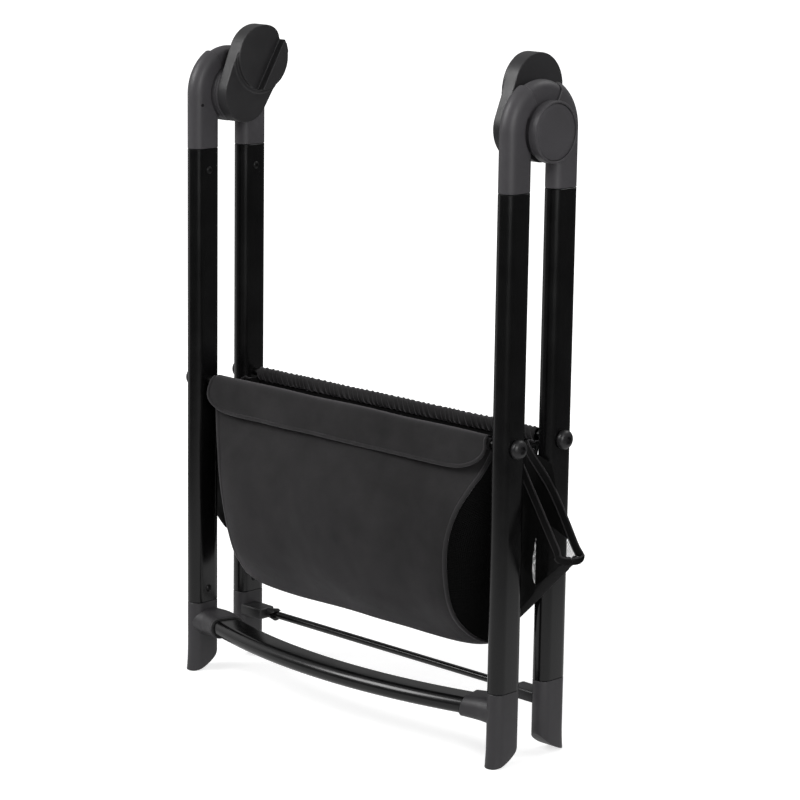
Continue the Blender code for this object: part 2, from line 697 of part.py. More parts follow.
def foot(side, end):
    """Plastic foot: plug, flared oval body, curved slanting sole and the crossbar's socket."""
    x, y = side * half_x, end * half_y
    name = f"{word[end]}_foot_{hand[side]}"
    outer = oval(tube_deep, tube_wide)
    bm = bmesh.new()
    rows = []
    for z, grow in ((-0.02, 1.5), (0.0, 1.0), (foot_flare_height * 0.5, 0.35), (foot_flare_height, 0.0),
                    (foot_top - gap, 0.0)):
        flare = foot_flare * grow / (tube_deep / 2)
        rows.append([bm.verts.new((px, py + end * max(0.0, end * py) * flare, z)) for px, py in outer])
    for a, b in zip(rows, rows[1:]):
        for k in range(len(a)):
            bm.faces.new((a[k], a[(k + 1) % len(a)], b[(k + 1) % len(a)], b[k]))
    bm.faces.new(rows[0])
    bm.faces.new(rows[-1])
    obj = from_bmesh(name, bm, plastic)
    obj.location = (x, y, 0)
    low, high = foot_top - 0.004, foot_top + spigot_length
    add(obj, extrusion(name + "_spigot", [oval(spigot_deep, spigot_wide)], high - low,
                       upright((x, y, (low + high) / 2)), None))
    # the sole is an arc in (y, z) from the flat tip at the outer edge up to the heel
    tip = tube_deep / 2 + foot_flare
    chord_y, chord_z = -(tip - foot_tip_flat + tube_deep / 2), foot_heel_rise
    chord = math.hypot(chord_y, chord_z)
    mid = (tip - foot_tip_flat + chord_y / 2, chord_z / 2)
    back = math.sqrt(foot_sole_radius ** 2 - chord ** 2 / 4)
    normal = (chord_z / chord, -chord_y / chord)
    centre = (mid[0] + normal[0] * back, mid[1] + normal[1] * back)
    a0 = math.atan2(0 - centre[1], tip - foot_tip_flat - centre[0])
    a1 = math.atan2(foot_heel_rise - centre[1], -tube_deep / 2 - centre[0])
    sole = [(tip + 0.01, 0.0), (tip - foot_tip_flat, 0.0)]
    sole += [(centre[0] + foot_sole_radius * math.cos(a0 + (a1 - a0) * k / 10),
              centre[1] + foot_sole_radius * math.sin(a0 + (a1 - a0) * k / 10)) for k in range(1, 11)]
    slope_y, slope_z = sole[-1][0] - sole[-2][0], sole[-1][1] - sole[-2][1]
    sole.append((sole[-1][0] + slope_y * 2, sole[-1][1] + slope_z * 2))
    sole += [(sole[-1][0], -0.04), (tip + 0.01, -0.04)]
    sole = [(end * py, pz) for py, pz in sole]
    cut(obj, extrusion(name + "_sole", [sole], 0.06, along_x((x, y, 0)), None))
    cut(obj, cylinder_x(name + "_fix_hole", leg_screw_radius + gap / 2, x, x - side * 0.03, y,
                        foot_top + foot_screw_above, None, steps=12))
    if end < 0:
        # the socket grows out of the foot and closes on the bar as a thin ring
        bm = bmesh.new()
        rings = []
        for t in (0.0, 0.12, 0.45, 1.0):
            sx = bar_mouth_x + (half_x + 0.002 - bar_mouth_x) * t
            swell = math.sin(math.pi * min(1.0, t * 1.3)) * 0.0015
            deep = (bar_wide + 2 * socket_wall) * (1 - t) + socket_root_wide * t + swell
            tall = (bar_thick + 2 * socket_wall) * (1 - t) + socket_root_thick * t + swell
            cy = bar_y(min(sx, bar_end_x)) * (1 - t) - half_y * t
            rings.append([bm.verts.new((side * sx, cy + v, bar_height + u)) for u, v in oval(deep, tall)])
        for a, b in zip(rings, rings[1:]):
            for k in range(len(a)):
                bm.faces.new((a[k], a[(k + 1) % len(a)], b[(k + 1) % len(a)], b[k]))
        bm.faces.new(rings[0])
        bm.faces.new(rings[-1])
        add(obj, from_bmesh(name + "_socket", bm, None))
        path = bar_path(side * (bar_mouth_x - 0.01), side * (bar_end_x + gap), 6)
        cut(obj, sweep(name + "_bar_bore", path, bar_wide + 2 * gap, bar_thick + 2 * gap,
                       upright((0, 0, bar_height)), None))
    else:
        xa, xb = sorted((side * (half_x - block_outer), side * (half_x - block_inner)))
        add(obj, box(name + "_block", (xa, block_front_y, rod_height - block_tall / 2),
                     (xb, block_rear_y, rod_height + block_tall / 2), None, edge=block_edge))
        cut(obj, cylinder_x(name + "_rod_bore", rod_radius + gap, side * (half_x - block_inner - 0.01),
                            side * (half_x - block_inner + rod_bury + gap), rod_y, rod_height,
                            None, steps=20))
    smooth(obj)
    return ride(obj, frame_of[end])


def knob(side, end):
    x, y = side * half_x, end * half_y
    name = f"{word[end]}_knob_{hand[side]}"
    base = tube_wide / 2 + gap
    r, t = knob_radius, knob_thick
    obj = turned_x(name, [
        (0, base + t), (r * 0.55, base + t - 0.0003), (r * 0.85, base + t - 0.0018), (r, base + t - 0.0045),
        (r, base + 0.0018), (r * 0.85, base), (0, base)],
        side, (x, y, knob_height_z), plastic, steps=16)
    cut(obj, extrusion(name + "_hex", [ring(knob_hex, 6)], knob_hex_deep * 2,
                       along_x((x + side * (base + t), y, knob_height_z)), None))
    bore_end = base + t - knob_hex_deep - knob_floor
    cut(obj, cylinder_x(name + "_bore", basket_bolt_radius + gap, x, x + side * bore_end,
                        y, knob_height_z, None, steps=20))
    return ride(obj, frame_of[end])


def basket_fixings(end):
    """The rod that carries one edge of the basket, and the bolts that hold it between the legs."""
    y = end * half_y
    bolt_far = tube_wide / 2 + gap + knob_thick - knob_hex_deep - knob_floor - gap
    rod_end = half_x - tube_wide / 2 - gap
    bolt_near = rod_end - basket_bolt_grip - half_x
    profile = [(0, bolt_far), (basket_bolt_radius, bolt_far), (basket_bolt_radius, bolt_near),
               (0, bolt_near)]
    for side in (-1, 1):
        bolt = turned_x(f"basket_bolt_{word[end]}_{hand[side]}", profile, side,
                        (side * half_x, y, knob_height_z), steel, steps=16)
        ride(bolt, frame_of[end])
    rings = [ring(basket_rod_radius, 20), ring(basket_bolt_radius + gap, 16)]
    rod = extrusion(f"basket_rod_{word[end]}", rings, 2 * rod_end, along_x((0, y, knob_height_z)),
                    dark_steel)
    ride(smooth(rod), frame_of[end])


def leg_screws(side, end):
    """Domed screws on a leg's inside face, through the elbow plug and the foot plug."""
    inner = tube_wide / 2
    profile = [(0, inner + gap + leg_screw_dome),
               (leg_screw_head * 0.6, inner + gap + leg_screw_dome * 0.75), (leg_screw_head, inner + gap),
               (leg_screw_radius, inner + gap), (leg_screw_radius, inner - leg_screw_reach),
               (0, inner - leg_screw_reach)]
    for label, z in (("elbow", tube_top - elbow_screw_below), ("foot", foot_top + foot_screw_above)):
        screw = turned_x(f"{label}_screw_{word[end]}_{hand[side]}", profile, -side,
                         (side * half_x, end * half_y, z), steel, steps=12)
        ride(screw, frame_of[end])


def basket_half(end):
    """One hanging half of the basket, from its sleeve down to the middle of the floor."""
    def place(u, v):
        drop, out, half = ease(seam, v)
        s = 2 * u - 1
        free = 1 - s ** seam_fullness
        crown = belly_crown * math.sin(math.pi * v) * free
        sag = floor_sag * v ** 3 * free
        return (s * half, end * (max(out, gap) + crown), knob_height_z - drop - sag)
    return smooth(sheet(f"basket_{word[end]}_half", place, 10, 14, cloth, cloth_dark), 60)


def sleeve_middle(around):
    """Radius of the sleeve's middle surface at its corners, so that its flats clear the rod."""
    return (basket_rod_radius + gap + sleeve_wall / 2) / math.cos(math.pi / around)


def sleeve(end, ripple, waves, across, around):
    """Cloth sleeve round a basket rod; the rear one is drawn in by its elastic and ripples."""
    y = end * half_y
    base = sleeve_middle(around)
    bm = bmesh.new()
    bmesh.ops.create_grid(bm, x_segments=across, y_segments=around, size=0.5)
    for v in bm.verts:
        s, a = 2 * v.co.x, 2 * math.pi * (v.co.y + 0.5)
        top_share = (1 + math.sin(a)) / 2
        r = base + ripple * top_share * (1 + math.sin(math.pi * waves * s))
        v.co = Vector((s * sleeve_half, y + r * math.cos(a), knob_height_z + r * math.sin(a)))
    bmesh.ops.remove_doubles(bm, verts=bm.verts, dist=0.00001)
    obj = from_bmesh(f"basket_{word[end]}_sleeve", bm, cloth_dark)
    solid = obj.modifiers.new("Cloth", "SOLIDIFY")
    solid.thickness = sleeve_wall
    solid.offset = 0
    return smooth(obj, 60)


def flap():
    """The cover flap that folds over the front rod and hangs down outside the front half."""
    start = sleeve_middle(front_sleeve_sides) + sleeve_wall / 2 + gap + cloth / 2
    stations = [(start, 0.0), (start * 0.82, start * 0.58), (start * 0.35, start * 0.94),
                (-0.002, start * 1.06), (-0.010, start * 1.18), (-0.020, start * 1.26),
                (-flap_drop, start * 1.30)]

    def place(u, v):
        rise, out = ease(stations, v)
        s = 2 * u - 1
        below = max(0.0, 1 - (flap_drop + rise) / flap_corner_tall)
        half = flap_half - flap_corner_wide * (1 - math.sqrt(max(0.0, 1 - below ** 2)))
        return (s * half, -half_y - out, knob_height_z + rise)
    return smooth(sheet("basket_flap", place, 14, 7, cloth, cloth_dark), 60)


def between(a, b, share):
    return tuple(p + (q - p) * share for p, q in zip(a, b))


def mesh_end(side):
    """Mesh end of the basket, folded outward between the legs while the stand is folded."""
    low_drop, low_out, low_half = seam[-1]
    low_fold = (low_half + mesh_seam_gap, 0, knob_height_z - low_drop - gap)
    high_fold = (mesh_tip_x, 0, mesh_tip_z)

    def layer(end, spread, drop, out, half, v):
        """Stations of one layer from its seam to the fold line, at the share v of the way down."""
        edge = (half + mesh_seam_gap, end * out, knob_height_z - drop)
        fold = between(high_fold, low_fold, v)
        fold = (fold[0], end * (spread * (1 - v) + gap), fold[2])
        inside = half_x - tube_wide / 2 - mesh_leg_clear
        x = max(edge[0], min(inside, (edge[0] + fold[0]) / 2))
        share = (x - edge[0]) / max(fold[0] - edge[0], gap)
        narrow = (x, end * min(mesh_pass_y, out / 2), edge[2] + (fold[2] - edge[2]) * share)
        return [edge, between(edge, narrow, 0.5), narrow, between(narrow, fold, 0.5), fold]

    def place(u, v):
        drop, out, half = ease(seam, v)
        out = max(out, gap)
        stations = layer(-1, mesh_tip_front, drop, out, half, v)
        stations += reversed(layer(1, mesh_tip_rear, drop, out, half, v))
        k = min(int(u * (mesh_columns - 1) + 0.001), mesh_columns - 2)
        x, y, z = between(stations[k], stations[k + 1], u * (mesh_columns - 1) - k)
        return (side * x, y, z)
    return smooth(sheet(f"basket_mesh_{hand[side]}", place, mesh_columns - 1, 9, mesh_cloth, mesh_dark), 50)


for side in (-1, 1):
    hub_core(side)
    hub_inside(side)
    bracket(side)
    for end in (-1, 1):
        elbow(side, end)
        leg(side, end)
        foot(side, end)
        knob(side, end)
        leg_screws(side, end)
for end in (-1, 1):
    basket_fixings(end)

crossbar = sweep("front_crossbar", bar_path(-bar_end_x, bar_end_x, bar_steps), bar_wide, bar_thick,
                 upright((0, 0, bar_height)), tube_black)
cut(crossbar, sweep("front_crossbar_hollow", bar_path(-bar_end_x - 0.004, bar_end_x + 0.004, bar_steps),
                    bar_wide - 2 * tube_wall, bar_thick - 2 * tube_wall, upright((0, 0, bar_height)), None))
ride(smooth(crossbar), front)

rod_half = half_x - block_inner + rod_bury
rear_rod = cylinder_x("rear_crossbar", rod_radius, -rod_half, rod_half, rod_y, rod_height, tube_black,
                      steps=24)
ride(smooth(rear_rod), rear)
for side in (-1, 1):
    root_x = half_x - block_inner - gap
    c = cylinder_x(f"rear_bar_collar_{hand[side]}", collar_small, side * root_x,
                   side * (root_x - collar_length), rod_y, rod_height, tube_black, steps=24,
                   radius_b=collar_large)
    cut(c, cylinder_x(f"rear_bar_collar_{hand[side]}_bore", rod_radius + gap, side * (root_x + 0.01),
                      side * (root_x - collar_length - 0.01), rod_y, rod_height, None, steps=20))
    ride(smooth(c), rear)

ride(basket_half(-1), sling_front)
ride(sleeve(-1, 0.0, 0, 4, front_sleeve_sides), sling_front)
ride(flap(), sling_front)
ride(basket_half(1), sling_rear)
ride(sleeve(1, sleeve_ripple, sleeve_ripples, 4 * sleeve_ripples, rear_sleeve_sides), sling_rear)
for side in (-1, 1):
    ride(mesh_end(side), sling_front)

# the origin is on the floor under the middle of the stand's box
bpy.context.view_layer.update()
graph = bpy.context.evaluated_depsgraph_get()
low, high = 1e9, -1e9
for o in parts.objects:
    if o.type == "MESH":
        shape = o.evaluated_get(graph)
        for v in shape.data.vertices:
            y = (o.matrix_world @ v.co).y
            low, high = min(low, y), max(high, y)
root.location.y = -(low + high) / 2
bpy.context.view_layer.update()
print(f"hub axis at y {root.location.y:.6f}")
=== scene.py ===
"""Looks of the folding carrycot stand: fine versions of the moulded and drawn pieces, the cloth basket
with its mesh ends, their materials, the floor, the light and the camera. Metres, +Z up, front at -Y."""
import math

import bmesh
import bpy
from mathutils import Matrix, Vector, noise


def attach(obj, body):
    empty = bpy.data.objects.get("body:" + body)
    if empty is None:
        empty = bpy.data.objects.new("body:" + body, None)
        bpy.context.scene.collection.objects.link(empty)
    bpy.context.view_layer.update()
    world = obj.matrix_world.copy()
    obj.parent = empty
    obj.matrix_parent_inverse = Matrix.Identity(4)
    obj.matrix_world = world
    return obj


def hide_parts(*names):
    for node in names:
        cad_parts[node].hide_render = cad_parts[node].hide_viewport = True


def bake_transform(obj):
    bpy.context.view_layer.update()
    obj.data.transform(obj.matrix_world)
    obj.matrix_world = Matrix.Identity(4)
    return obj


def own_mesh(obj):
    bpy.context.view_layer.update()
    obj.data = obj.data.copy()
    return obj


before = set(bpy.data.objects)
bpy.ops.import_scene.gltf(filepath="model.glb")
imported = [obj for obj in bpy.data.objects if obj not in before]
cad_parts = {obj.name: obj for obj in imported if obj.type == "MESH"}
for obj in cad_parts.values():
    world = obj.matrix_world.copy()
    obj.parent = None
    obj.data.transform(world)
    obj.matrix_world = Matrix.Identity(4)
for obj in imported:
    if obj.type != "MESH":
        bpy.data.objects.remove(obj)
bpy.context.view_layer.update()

# The stand's sizes, as its solids have them
axis_y = 0.009077
half_x = 0.236
half_y = 0.0355
hub_z = 0.667
gap = 0.0003
tube_deep, tube_wide = 0.038, 0.022
foot_top = 0.081
tube_top = 0.606
elbow_end_deg = 28.7
ring_deep, ring_wide = 0.0326, 0.0168
core_reach_deg = 60.0
drum_radius = 0.032
lap_half = 0.006
drum_out, drum_in = 0.0248, 0.0197
cup_wall = 0.0027
bracket_out, bracket_in, puck_in, guard_in = 0.0200, 0.0344, 0.0394, 0.0400
lobe_radius, puck_radius, puck_reach = 0.0320, 0.0364, 0.0452
puck_tilt_deg, guard_tilt_deg = 28.0, 31.0
guard_offset, face_drop = 0.0172, 0.0086
face_ridge, face_lip = 0.0180, 0.0010
rim_step, rim_radius = 0.0012, 0.0405
foot_tip_flat, foot_heel_rise, foot_sole_radius = 0.0015, 0.0230, 0.0600
foot_flare, foot_flare_height = 0.0020, 0.030
bar_z, bar_wide, bar_thick = 0.058, 0.037, 0.018
bar_bow_y, bar_bend_radius = 0.065, 0.683
bar_mouth_x, bar_end_x = 0.190, 0.214
socket_wall, socket_root_wide, socket_root_thick = 0.0028, 0.040, 0.030
rod_z, rod_y, rod_radius = 0.0605, 0.0330, 0.0042
block_outer, block_inner = 0.005, 0.040
block_front_y, block_rear_y, block_tall = 0.0180, 0.0410, 0.0130
rod_bury, collar_length, collar_small, collar_large = 0.016, 0.013, 0.0058, 0.0074
knob_z, knob_radius, knob_thick, knob_hex, knob_hex_deep = 0.3425, 0.0103, 0.0090, 0.0044, 0.0036
elbow_screw_z, foot_screw_z = 0.582, 0.097
leg_screw_head, leg_screw_dome = 0.0042, 0.0014
basket_rod_radius = 0.0045
neck_deep, neck_end, button_travel = 0.0036, 0.0146, 0.0036
# the side seam of a basket half: drop below the rod axis, distance from the middle plane, half width
seam = [
    (0.0050, 0.0352, 0.2185), (0.0135, 0.0346, 0.2145), (0.0325, 0.0405, 0.2065),
    (0.0525, 0.0490, 0.1960), (0.0725, 0.0558, 0.1868), (0.0925, 0.0598, 0.1806),
    (0.1125, 0.0610, 0.1764), (0.1325, 0.0594, 0.1740), (0.1525, 0.0560, 0.1726),
    (0.1725, 0.0508, 0.1718), (0.1875, 0.0448, 0.1722), (0.1975, 0.0388, 0.1728),
    (0.2075, 0.0305, 0.1748), (0.2165, 0.0212, 0.1790), (0.2220, 0.0135, 0.1840),
    (0.2245, 0.0065, 0.1872), (0.2255, 0.0000, 0.1886),
]
ways = (-1, 1)
word = {-1: "front", 1: "rear"}
hand = {-1: "left", 1: "right"}
frame_body = {-1: "front_frame", 1: "rear_frame"}


def set_all(thing, settings):
    for key, value in settings.items():
        setattr(thing, key, value)


# Materials
class Graph:
    """A node tree with short ways to add nodes and to join them."""

    def __init__(self, tree):
        self.nodes, self.links = tree.nodes, tree.links

    def feed(self, node, inputs):
        """Sets inputs of a node. Each is a constant or another node's socket, which is then joined."""
        for key, value in inputs.items():
            if isinstance(value, bpy.types.NodeSocket):
                self.links.new(value, node.inputs[key])
            else:
                node.inputs[key].default_value = value

    def add(self, kind, inputs, **settings):
        node = self.nodes.new("ShaderNode" + kind)
        set_all(node, settings)
        self.feed(node, inputs)
        return node

    def coordinates(self, kind):
        return self.add("TexCoord", {}).outputs[kind]

    def noise(self, scale, detail=4.0, rough=0.5, vector=None):
        inputs = {"Vector": vector or self.coordinates("Object"), "Scale": scale, "Detail": detail,
                  "Roughness": rough}
        return self.add("TexNoise", inputs).outputs["Fac"]

    def calc(self, operation, *values):
        return self.add("Math", dict(enumerate(values)), operation=operation).outputs[0]

    def ramp(self, source, low, high):
        """Colours between two stops, each given as (place, colour)."""
        node = self.add("ValToRGB", {"Fac": source})
        for stop, (place, colour) in zip(node.color_ramp.elements, (low, high)):
            stop.position, stop.color = place, colour
        return node.outputs["Color"]

    def mapped(self, source, start, end, low, high, kind="SMOOTHSTEP"):
        """The values from start to end, mapped onto low to high."""
        inputs = {"Value": source, "From Min": start, "From Max": end, "To Min": low, "To Max": high}
        return self.add("MapRange", inputs, interpolation_type=kind).outputs["Result"]

    def spread(self, source, low, high):
        """The middle half of a noise, mapped onto low to high."""
        return self.mapped(source, 0.25, 0.75, low, high, "LINEAR")

    def bump(self, height, strength, distance, onto=None):
        inputs = {"Height": height, "Strength": strength, "Distance": distance}
        if onto is not None:
            inputs["Normal"] = onto
        return self.add("Bump", inputs).outputs["Normal"]

    def threads(self, pitch, diagonal=0.0):
        """The cloth's own flat coordinates, in metres, counted in threads of that pitch."""
        turned = self.add("Mapping", {"Vector": self.coordinates("UV"), "Rotation": (0, 0, diagonal),
                                      "Scale": (1 / pitch, 1 / pitch, 1)})
        split = self.add("SeparateXYZ", {"Vector": turned.outputs["Vector"]})
        return split.outputs["X"], split.outputs["Y"]

    def straight_rays(self):
        """1 where the camera looks straight or through glass."""
        path = self.add("LightPath", {})
        return self.calc("MAXIMUM", path.outputs["Is Camera Ray"], path.outputs["Is Transmission Ray"])


class Look(Graph):
    """A new material and its shader."""

    def __init__(self, name):
        self.material = bpy.data.materials.new(name)
        self.material.use_nodes = True
        super().__init__(self.material.node_tree)
        self.shader = self.nodes["Principled BSDF"]

    def made(self, inputs):
        """The material, with these inputs on its shader."""
        self.feed(self.shader, inputs)
        return self.material


def grey(v, green=1.0, blue=1.0):
    return (v, v * green, v * blue, 1.0)


def gloss_paint():
    """Black gloss paint on drawn tube: faint orange peel, fine dust and handling marks in the gloss."""
    g = Look("tube_gloss_black")
    wipe = g.noise(24.0, 6.0, 0.62)
    dust = g.bump(g.noise(2600.0, 2.0), 0.05, 0.00004)
    return g.made({
        "Base Color": g.ramp(wipe, (0.30, grey(0.0016, 0.97, 1.06)), (0.72, grey(0.0034, 0.98, 1.04))),
        "Roughness": g.spread(wipe, 0.17, 0.27),
        "Normal": g.bump(g.noise(420.0, 2.0), 0.10, 0.00012, dust),
        "Specular IOR Level": 0.45})


def moulded_plastic(name, tone_low, tone_high, rough_low, rough_high, grain):
    """Spark-eroded charcoal plastic: fine grain, slow colour drift and slightly polished rubbed places."""
    g = Look(name)
    return g.made({
        "Base Color": g.ramp(g.noise(16.0, 5.0, 0.55), (0.28, tone_low), (0.74, tone_high)),
        "Roughness": g.spread(g.noise(60.0, 6.0, 0.7), rough_high, rough_low),
        "Normal": g.bump(g.noise(1500.0, 3.0, 0.6), grain, 0.00012),
        "Specular IOR Level": 0.42})


def plated_steel(name, tone_low, tone_high, rough):
    """Zinc or black-oxide fastener: turned scratches and slightly uneven plating."""
    g = Look(name)
    drawn_out = g.add("Mapping", {"Vector": g.coordinates("Object"), "Scale": (1.0, 9.0, 9.0)})
    marks = g.noise(900.0, 3.0, vector=drawn_out.outputs["Vector"])
    return g.made({
        "Base Color": g.ramp(g.noise(180.0), (0.3, tone_low), (0.7, tone_high)),
        "Roughness": g.spread(marks, rough - 0.08, rough + 0.10),
        "Normal": g.bump(marks, 0.12, 0.00003),
        "Metallic": 1.0})


def woven(name, dark, pale, pitch, diagonal, fuzz):
    """Dark woven cloth: thread relief, a mottled tone that is partly uneven dye and partly painted sheen,
    lint and a soft velvety sheen.
    """
    g = Look(name)
    waves = [g.calc("SINE", g.calc("MULTIPLY", axis, math.pi)) for axis in g.threads(pitch, diagonal)]
    weave = g.calc("MULTIPLY_ADD", g.calc("MULTIPLY", *waves), 0.5, 0.5)
    lint = g.noise(900.0, 4.0, 0.65)
    # the mottled tone is partly uneven dye and partly painted sheen of the velvety cloth
    # sockets 6 and 7 of the Mix node take its two colours, and 2 gives the result
    mottled_dye_and_sheen = g.add("Mix", {"Factor": 0.75, 6: g.ramp(g.noise(13.0, 7.0, 0.62), (0.28, dark), (0.75, pale)),
                         7: g.ramp(weave, (0.0, grey(0.62)), (1.0, grey(1.18)))},
                 data_type="RGBA", blend_type="MULTIPLY")
    return g.made({
        "Base Color": mottled_dye_and_sheen.outputs[2],
        "Roughness": g.spread(lint, 0.78, 0.94),
        "Normal": g.bump(weave, 0.55, 0.00022, g.bump(lint, 0.20, 0.00025)),
        "Specular IOR Level": 0.16,
        "Sheen Weight": fuzz, "Sheen Roughness": 0.42, "Sheen Tint": (0.62, 0.60, 0.63, 1)})


def net(name, pitch, thread_share):
    """Sheer black net: threads round open holes."""
    g = Look(name)
    to_thread = g.calc("MINIMUM", *[g.calc("PINGPONG", axis, 0.5) for axis in g.threads(pitch)])
    return g.made({
        "Base Color": g.ramp(g.noise(700.0, 3.0), (0.3, grey(0.0018)), (0.7, grey(0.0040))),
        "Alpha": g.calc("LESS_THAN", to_thread, thread_share / 2),
        "Normal": g.bump(to_thread, 0.3, 0.0002),
        "Roughness": 0.85, "Specular IOR Level": 0.12})


tube_black = gloss_paint()
plastic = moulded_plastic("charcoal_plastic", grey(0.043, 0.955, 1.03), grey(0.057, 0.955, 1.04),
                          0.40, 0.54, 0.30)
# darker copy of the charcoal plastic for the feet and the bar sockets: painted shade low down near the floor
painted_shade_plastic_foot = moulded_plastic("foot_plastic_painted_shade", grey(0.028, 0.955, 1.03), grey(0.036, 0.955, 1.04),
                               0.42, 0.56, 0.30)
# darker copy of the charcoal plastic for the cot brackets: painted shade on their dim faces
painted_shade_plastic_rest = moulded_plastic("rest_plastic_painted_shade", grey(0.018, 0.975, 1.03), grey(0.025, 0.975, 1.04),
                               0.38, 0.52, 0.30)
# darker plastic for the core web, the bar blocks and the collars; on the core web, deep in the groove
# between the drums, it is painted shade
plastic_dark = moulded_plastic("charcoal_plastic_dark", grey(0.012, 0.98, 1.04), grey(0.017, 0.98, 1.04),
                               0.34, 0.48, 0.28)
plastic_knob = moulded_plastic("knob_plastic", grey(0.011, 0.97, 1.04), grey(0.016, 0.97, 1.04),
                               0.30, 0.42, 0.18)
seal_dark = moulded_plastic("seal_rubber", grey(0.006), grey(0.010), 0.62, 0.74, 0.20)
steel = plated_steel("zinc_steel", grey(0.40, 1.0, 1.02), grey(0.52, 1.0, 1.02), 0.36)
dark_steel = plated_steel("black_steel", grey(0.020), grey(0.036), 0.40)
cloth_tint = (0.955, 0.985)
bias = math.pi / 4
cloth_dark = woven("basket_cloth", grey(0.0108, *cloth_tint), grey(0.0262, *cloth_tint), 0.00075, 0.0, 0.28)
# the cloth's inside face, in the basket and under the flap, made near-black: painted shade inside the closed
# basket
inside_painted_shade = woven("basket_inside_painted_shade", grey(0.0015, *cloth_tint), grey(0.0030, *cloth_tint), 0.00075, 0.0, 0.02)
binding = woven("basket_binding", grey(0.0140, *cloth_tint), grey(0.0220, *cloth_tint), 0.00060, bias, 0.45)
mesh_net = net("basket_net", 0.00155, 0.335)
mesh_tape = woven("mesh_tape", grey(0.0020), grey(0.0040), 0.00060, bias, 0.08)
# near-black sheets of painted shade inside the mesh mouth and between the legs
mesh_shade = woven("mesh_painted_shade", grey(0.0012), grey(0.0026), 0.00060, bias, 0.03)
# pale piping on the mouth tape's raised edges; its lighter tone is partly painted sheen
mesh_edge_painted_sheen = woven("mesh_tape_edge_painted_sheen", grey(0.0150, *cloth_tint), grey(0.0230, *cloth_tint), 0.00050, 0.0, 0.45)

# what a node's name says about its material; the others are plastic
material_marks = (
    (tube_black, ("leg", "crossbar", "collar")), (dark_steel, ("pivot_bolt", "basket_rod")),
    (steel, ("screw", "nut", "lock_ring", "spring", "basket_bolt")), (mesh_tape, ("mesh",)),
    (cloth_dark, ("half", "sleeve", "flap")), (plastic, ("",)),
)
for node_name, node_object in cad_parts.items():
    chosen = next(mat for mat, marks in material_marks if any(mark in node_name for mark in marks))
    if not node_object.material_slots:
        node_object.data.materials.append(chosen)
    for material_slot in node_object.material_slots:
        material_slot.material = chosen


# Mesh helpers
shown = bpy.data.collections.new("stand_looks")
bpy.context.scene.collection.children.link(shown)


def shade(obj, deg=None):
    """Smooth shading, with sharp edges where faces meet at more than deg."""
    for p in obj.data.polygons:
        p.use_smooth = True
    if deg is not None:
        obj.data.set_sharp_from_angle(angle=math.radians(deg))


def put(name, mesh, mat, smooth_deg=None):
    obj = bpy.data.objects.new(name, mesh)
    shown.objects.link(obj)
    if mat is not None:
        coat(obj, mat)
    if smooth_deg is not None:
        shade(obj, smooth_deg)
    return obj


def coat(obj, mat):
    obj.data.materials.clear()
    obj.data.materials.append(mat)


def from_bmesh(name, bm, mat, smooth_deg=None, closed=True):
    if closed:
        bmesh.ops.recalc_face_normals(bm, faces=bm.faces)
    mesh = bpy.data.meshes.new(name)
    bm.to_mesh(mesh)
    bm.free()
    return put(name, mesh, mat, smooth_deg)


def reshape(obj, **steps):
    """The result of modifiers, each given by its kind and settings, becomes the object's own mesh."""
    for kind, settings in steps.items():
        set_all(obj.modifiers.new(kind, kind), settings)
    bpy.context.view_layer.update()
    graph = bpy.context.evaluated_depsgraph_get()
    made = bpy.data.meshes.new_from_object(obj.evaluated_get(graph))
    obj.modifiers.clear()
    obj.data = made


def arc(centre, radius, first, turn, steps):
    turns = [first + turn * k / steps for k in range(steps + 1)]
    return [(centre[0] + radius * math.cos(a), centre[1] + radius * math.sin(a)) for a in turns]


def ring(radius, steps):
    return arc((0, 0), radius, 0, 2 * math.pi, steps)[:-1]


def oval(deep, wide, steps):
    """Outline of a flat oval, wide along x and deep along y."""
    pts = arc((0, (deep - wide) / 2), wide / 2, 0, math.pi, steps)
    return pts + [(-x, -y) for x, y in pts]


def loft(name, rows, mat=None, smooth_deg=30.0):
    """A skin over rows of points with equal counts, capped at its two ends."""
    bm = bmesh.new()
    made = [[bm.verts.new(p) for p in row] for row in rows]
    n = len(made[0])
    for a, b in zip(made, made[1:]):
        for k in range(n):
            bm.faces.new((a[k], a[(k + 1) % n], b[(k + 1) % n], b[k]))
    bm.faces.new(made[0])
    bm.faces.new(made[-1])
    return from_bmesh(name, bm, mat, smooth_deg)


def cube(size):
    bm = bmesh.new()
    bmesh.ops.create_cube(bm, size=1.0)
    bmesh.ops.scale(bm, vec=size, verts=bm.verts)
    return bm


def turned_x(name, profile, side, at, mat, steps=64, smooth_deg=32.0):
    """A profile of (radius, height) turned about X; heights point to side along X."""
    bm = bmesh.new()
    rows = []
    for r, h in profile:
        # a radius of zero is a single point
        circle = ring(r, steps) if r > 0 else [(0, 0)]
        rows.append([bm.verts.new((at[0] + side * h, at[1] + y, at[2] + z)) for y, z in circle])
    for a, b in zip(rows, rows[1:]):
        for k in range(steps):
            if len(a) == 1:
                bm.faces.new((a[0], b[k], b[(k + 1) % steps]))
            elif len(b) == 1:
                bm.faces.new((a[k], a[(k + 1) % steps], b[0]))
            else:
                bm.faces.new((a[k], a[(k + 1) % steps], b[(k + 1) % steps], b[k]))
    return from_bmesh(name, bm, mat, smooth_deg)


def cylinder(name, radius, near, far, side, at, steps=96):
    """A cutter along X."""
    return turned_x(name, [(0, near), (radius, near), (radius, far), (0, far)], side, at, None, steps)


def boolean(obj, other, operation="DIFFERENCE"):
    reshape(obj, BOOLEAN={"object": other, "operation": operation, "solver": "EXACT"})
    bpy.data.objects.remove(other, do_unlink=True)


def soften(obj, voxel, rounds):
    """Rebuilds a solid on a fine grid and relaxes it, so that its edges get moulded radii."""
    reshape(obj, REMESH={"mode": "VOXEL", "voxel_size": voxel}, SMOOTH={"factor": 0.5, "iterations": rounds})
    shade(obj, 60)


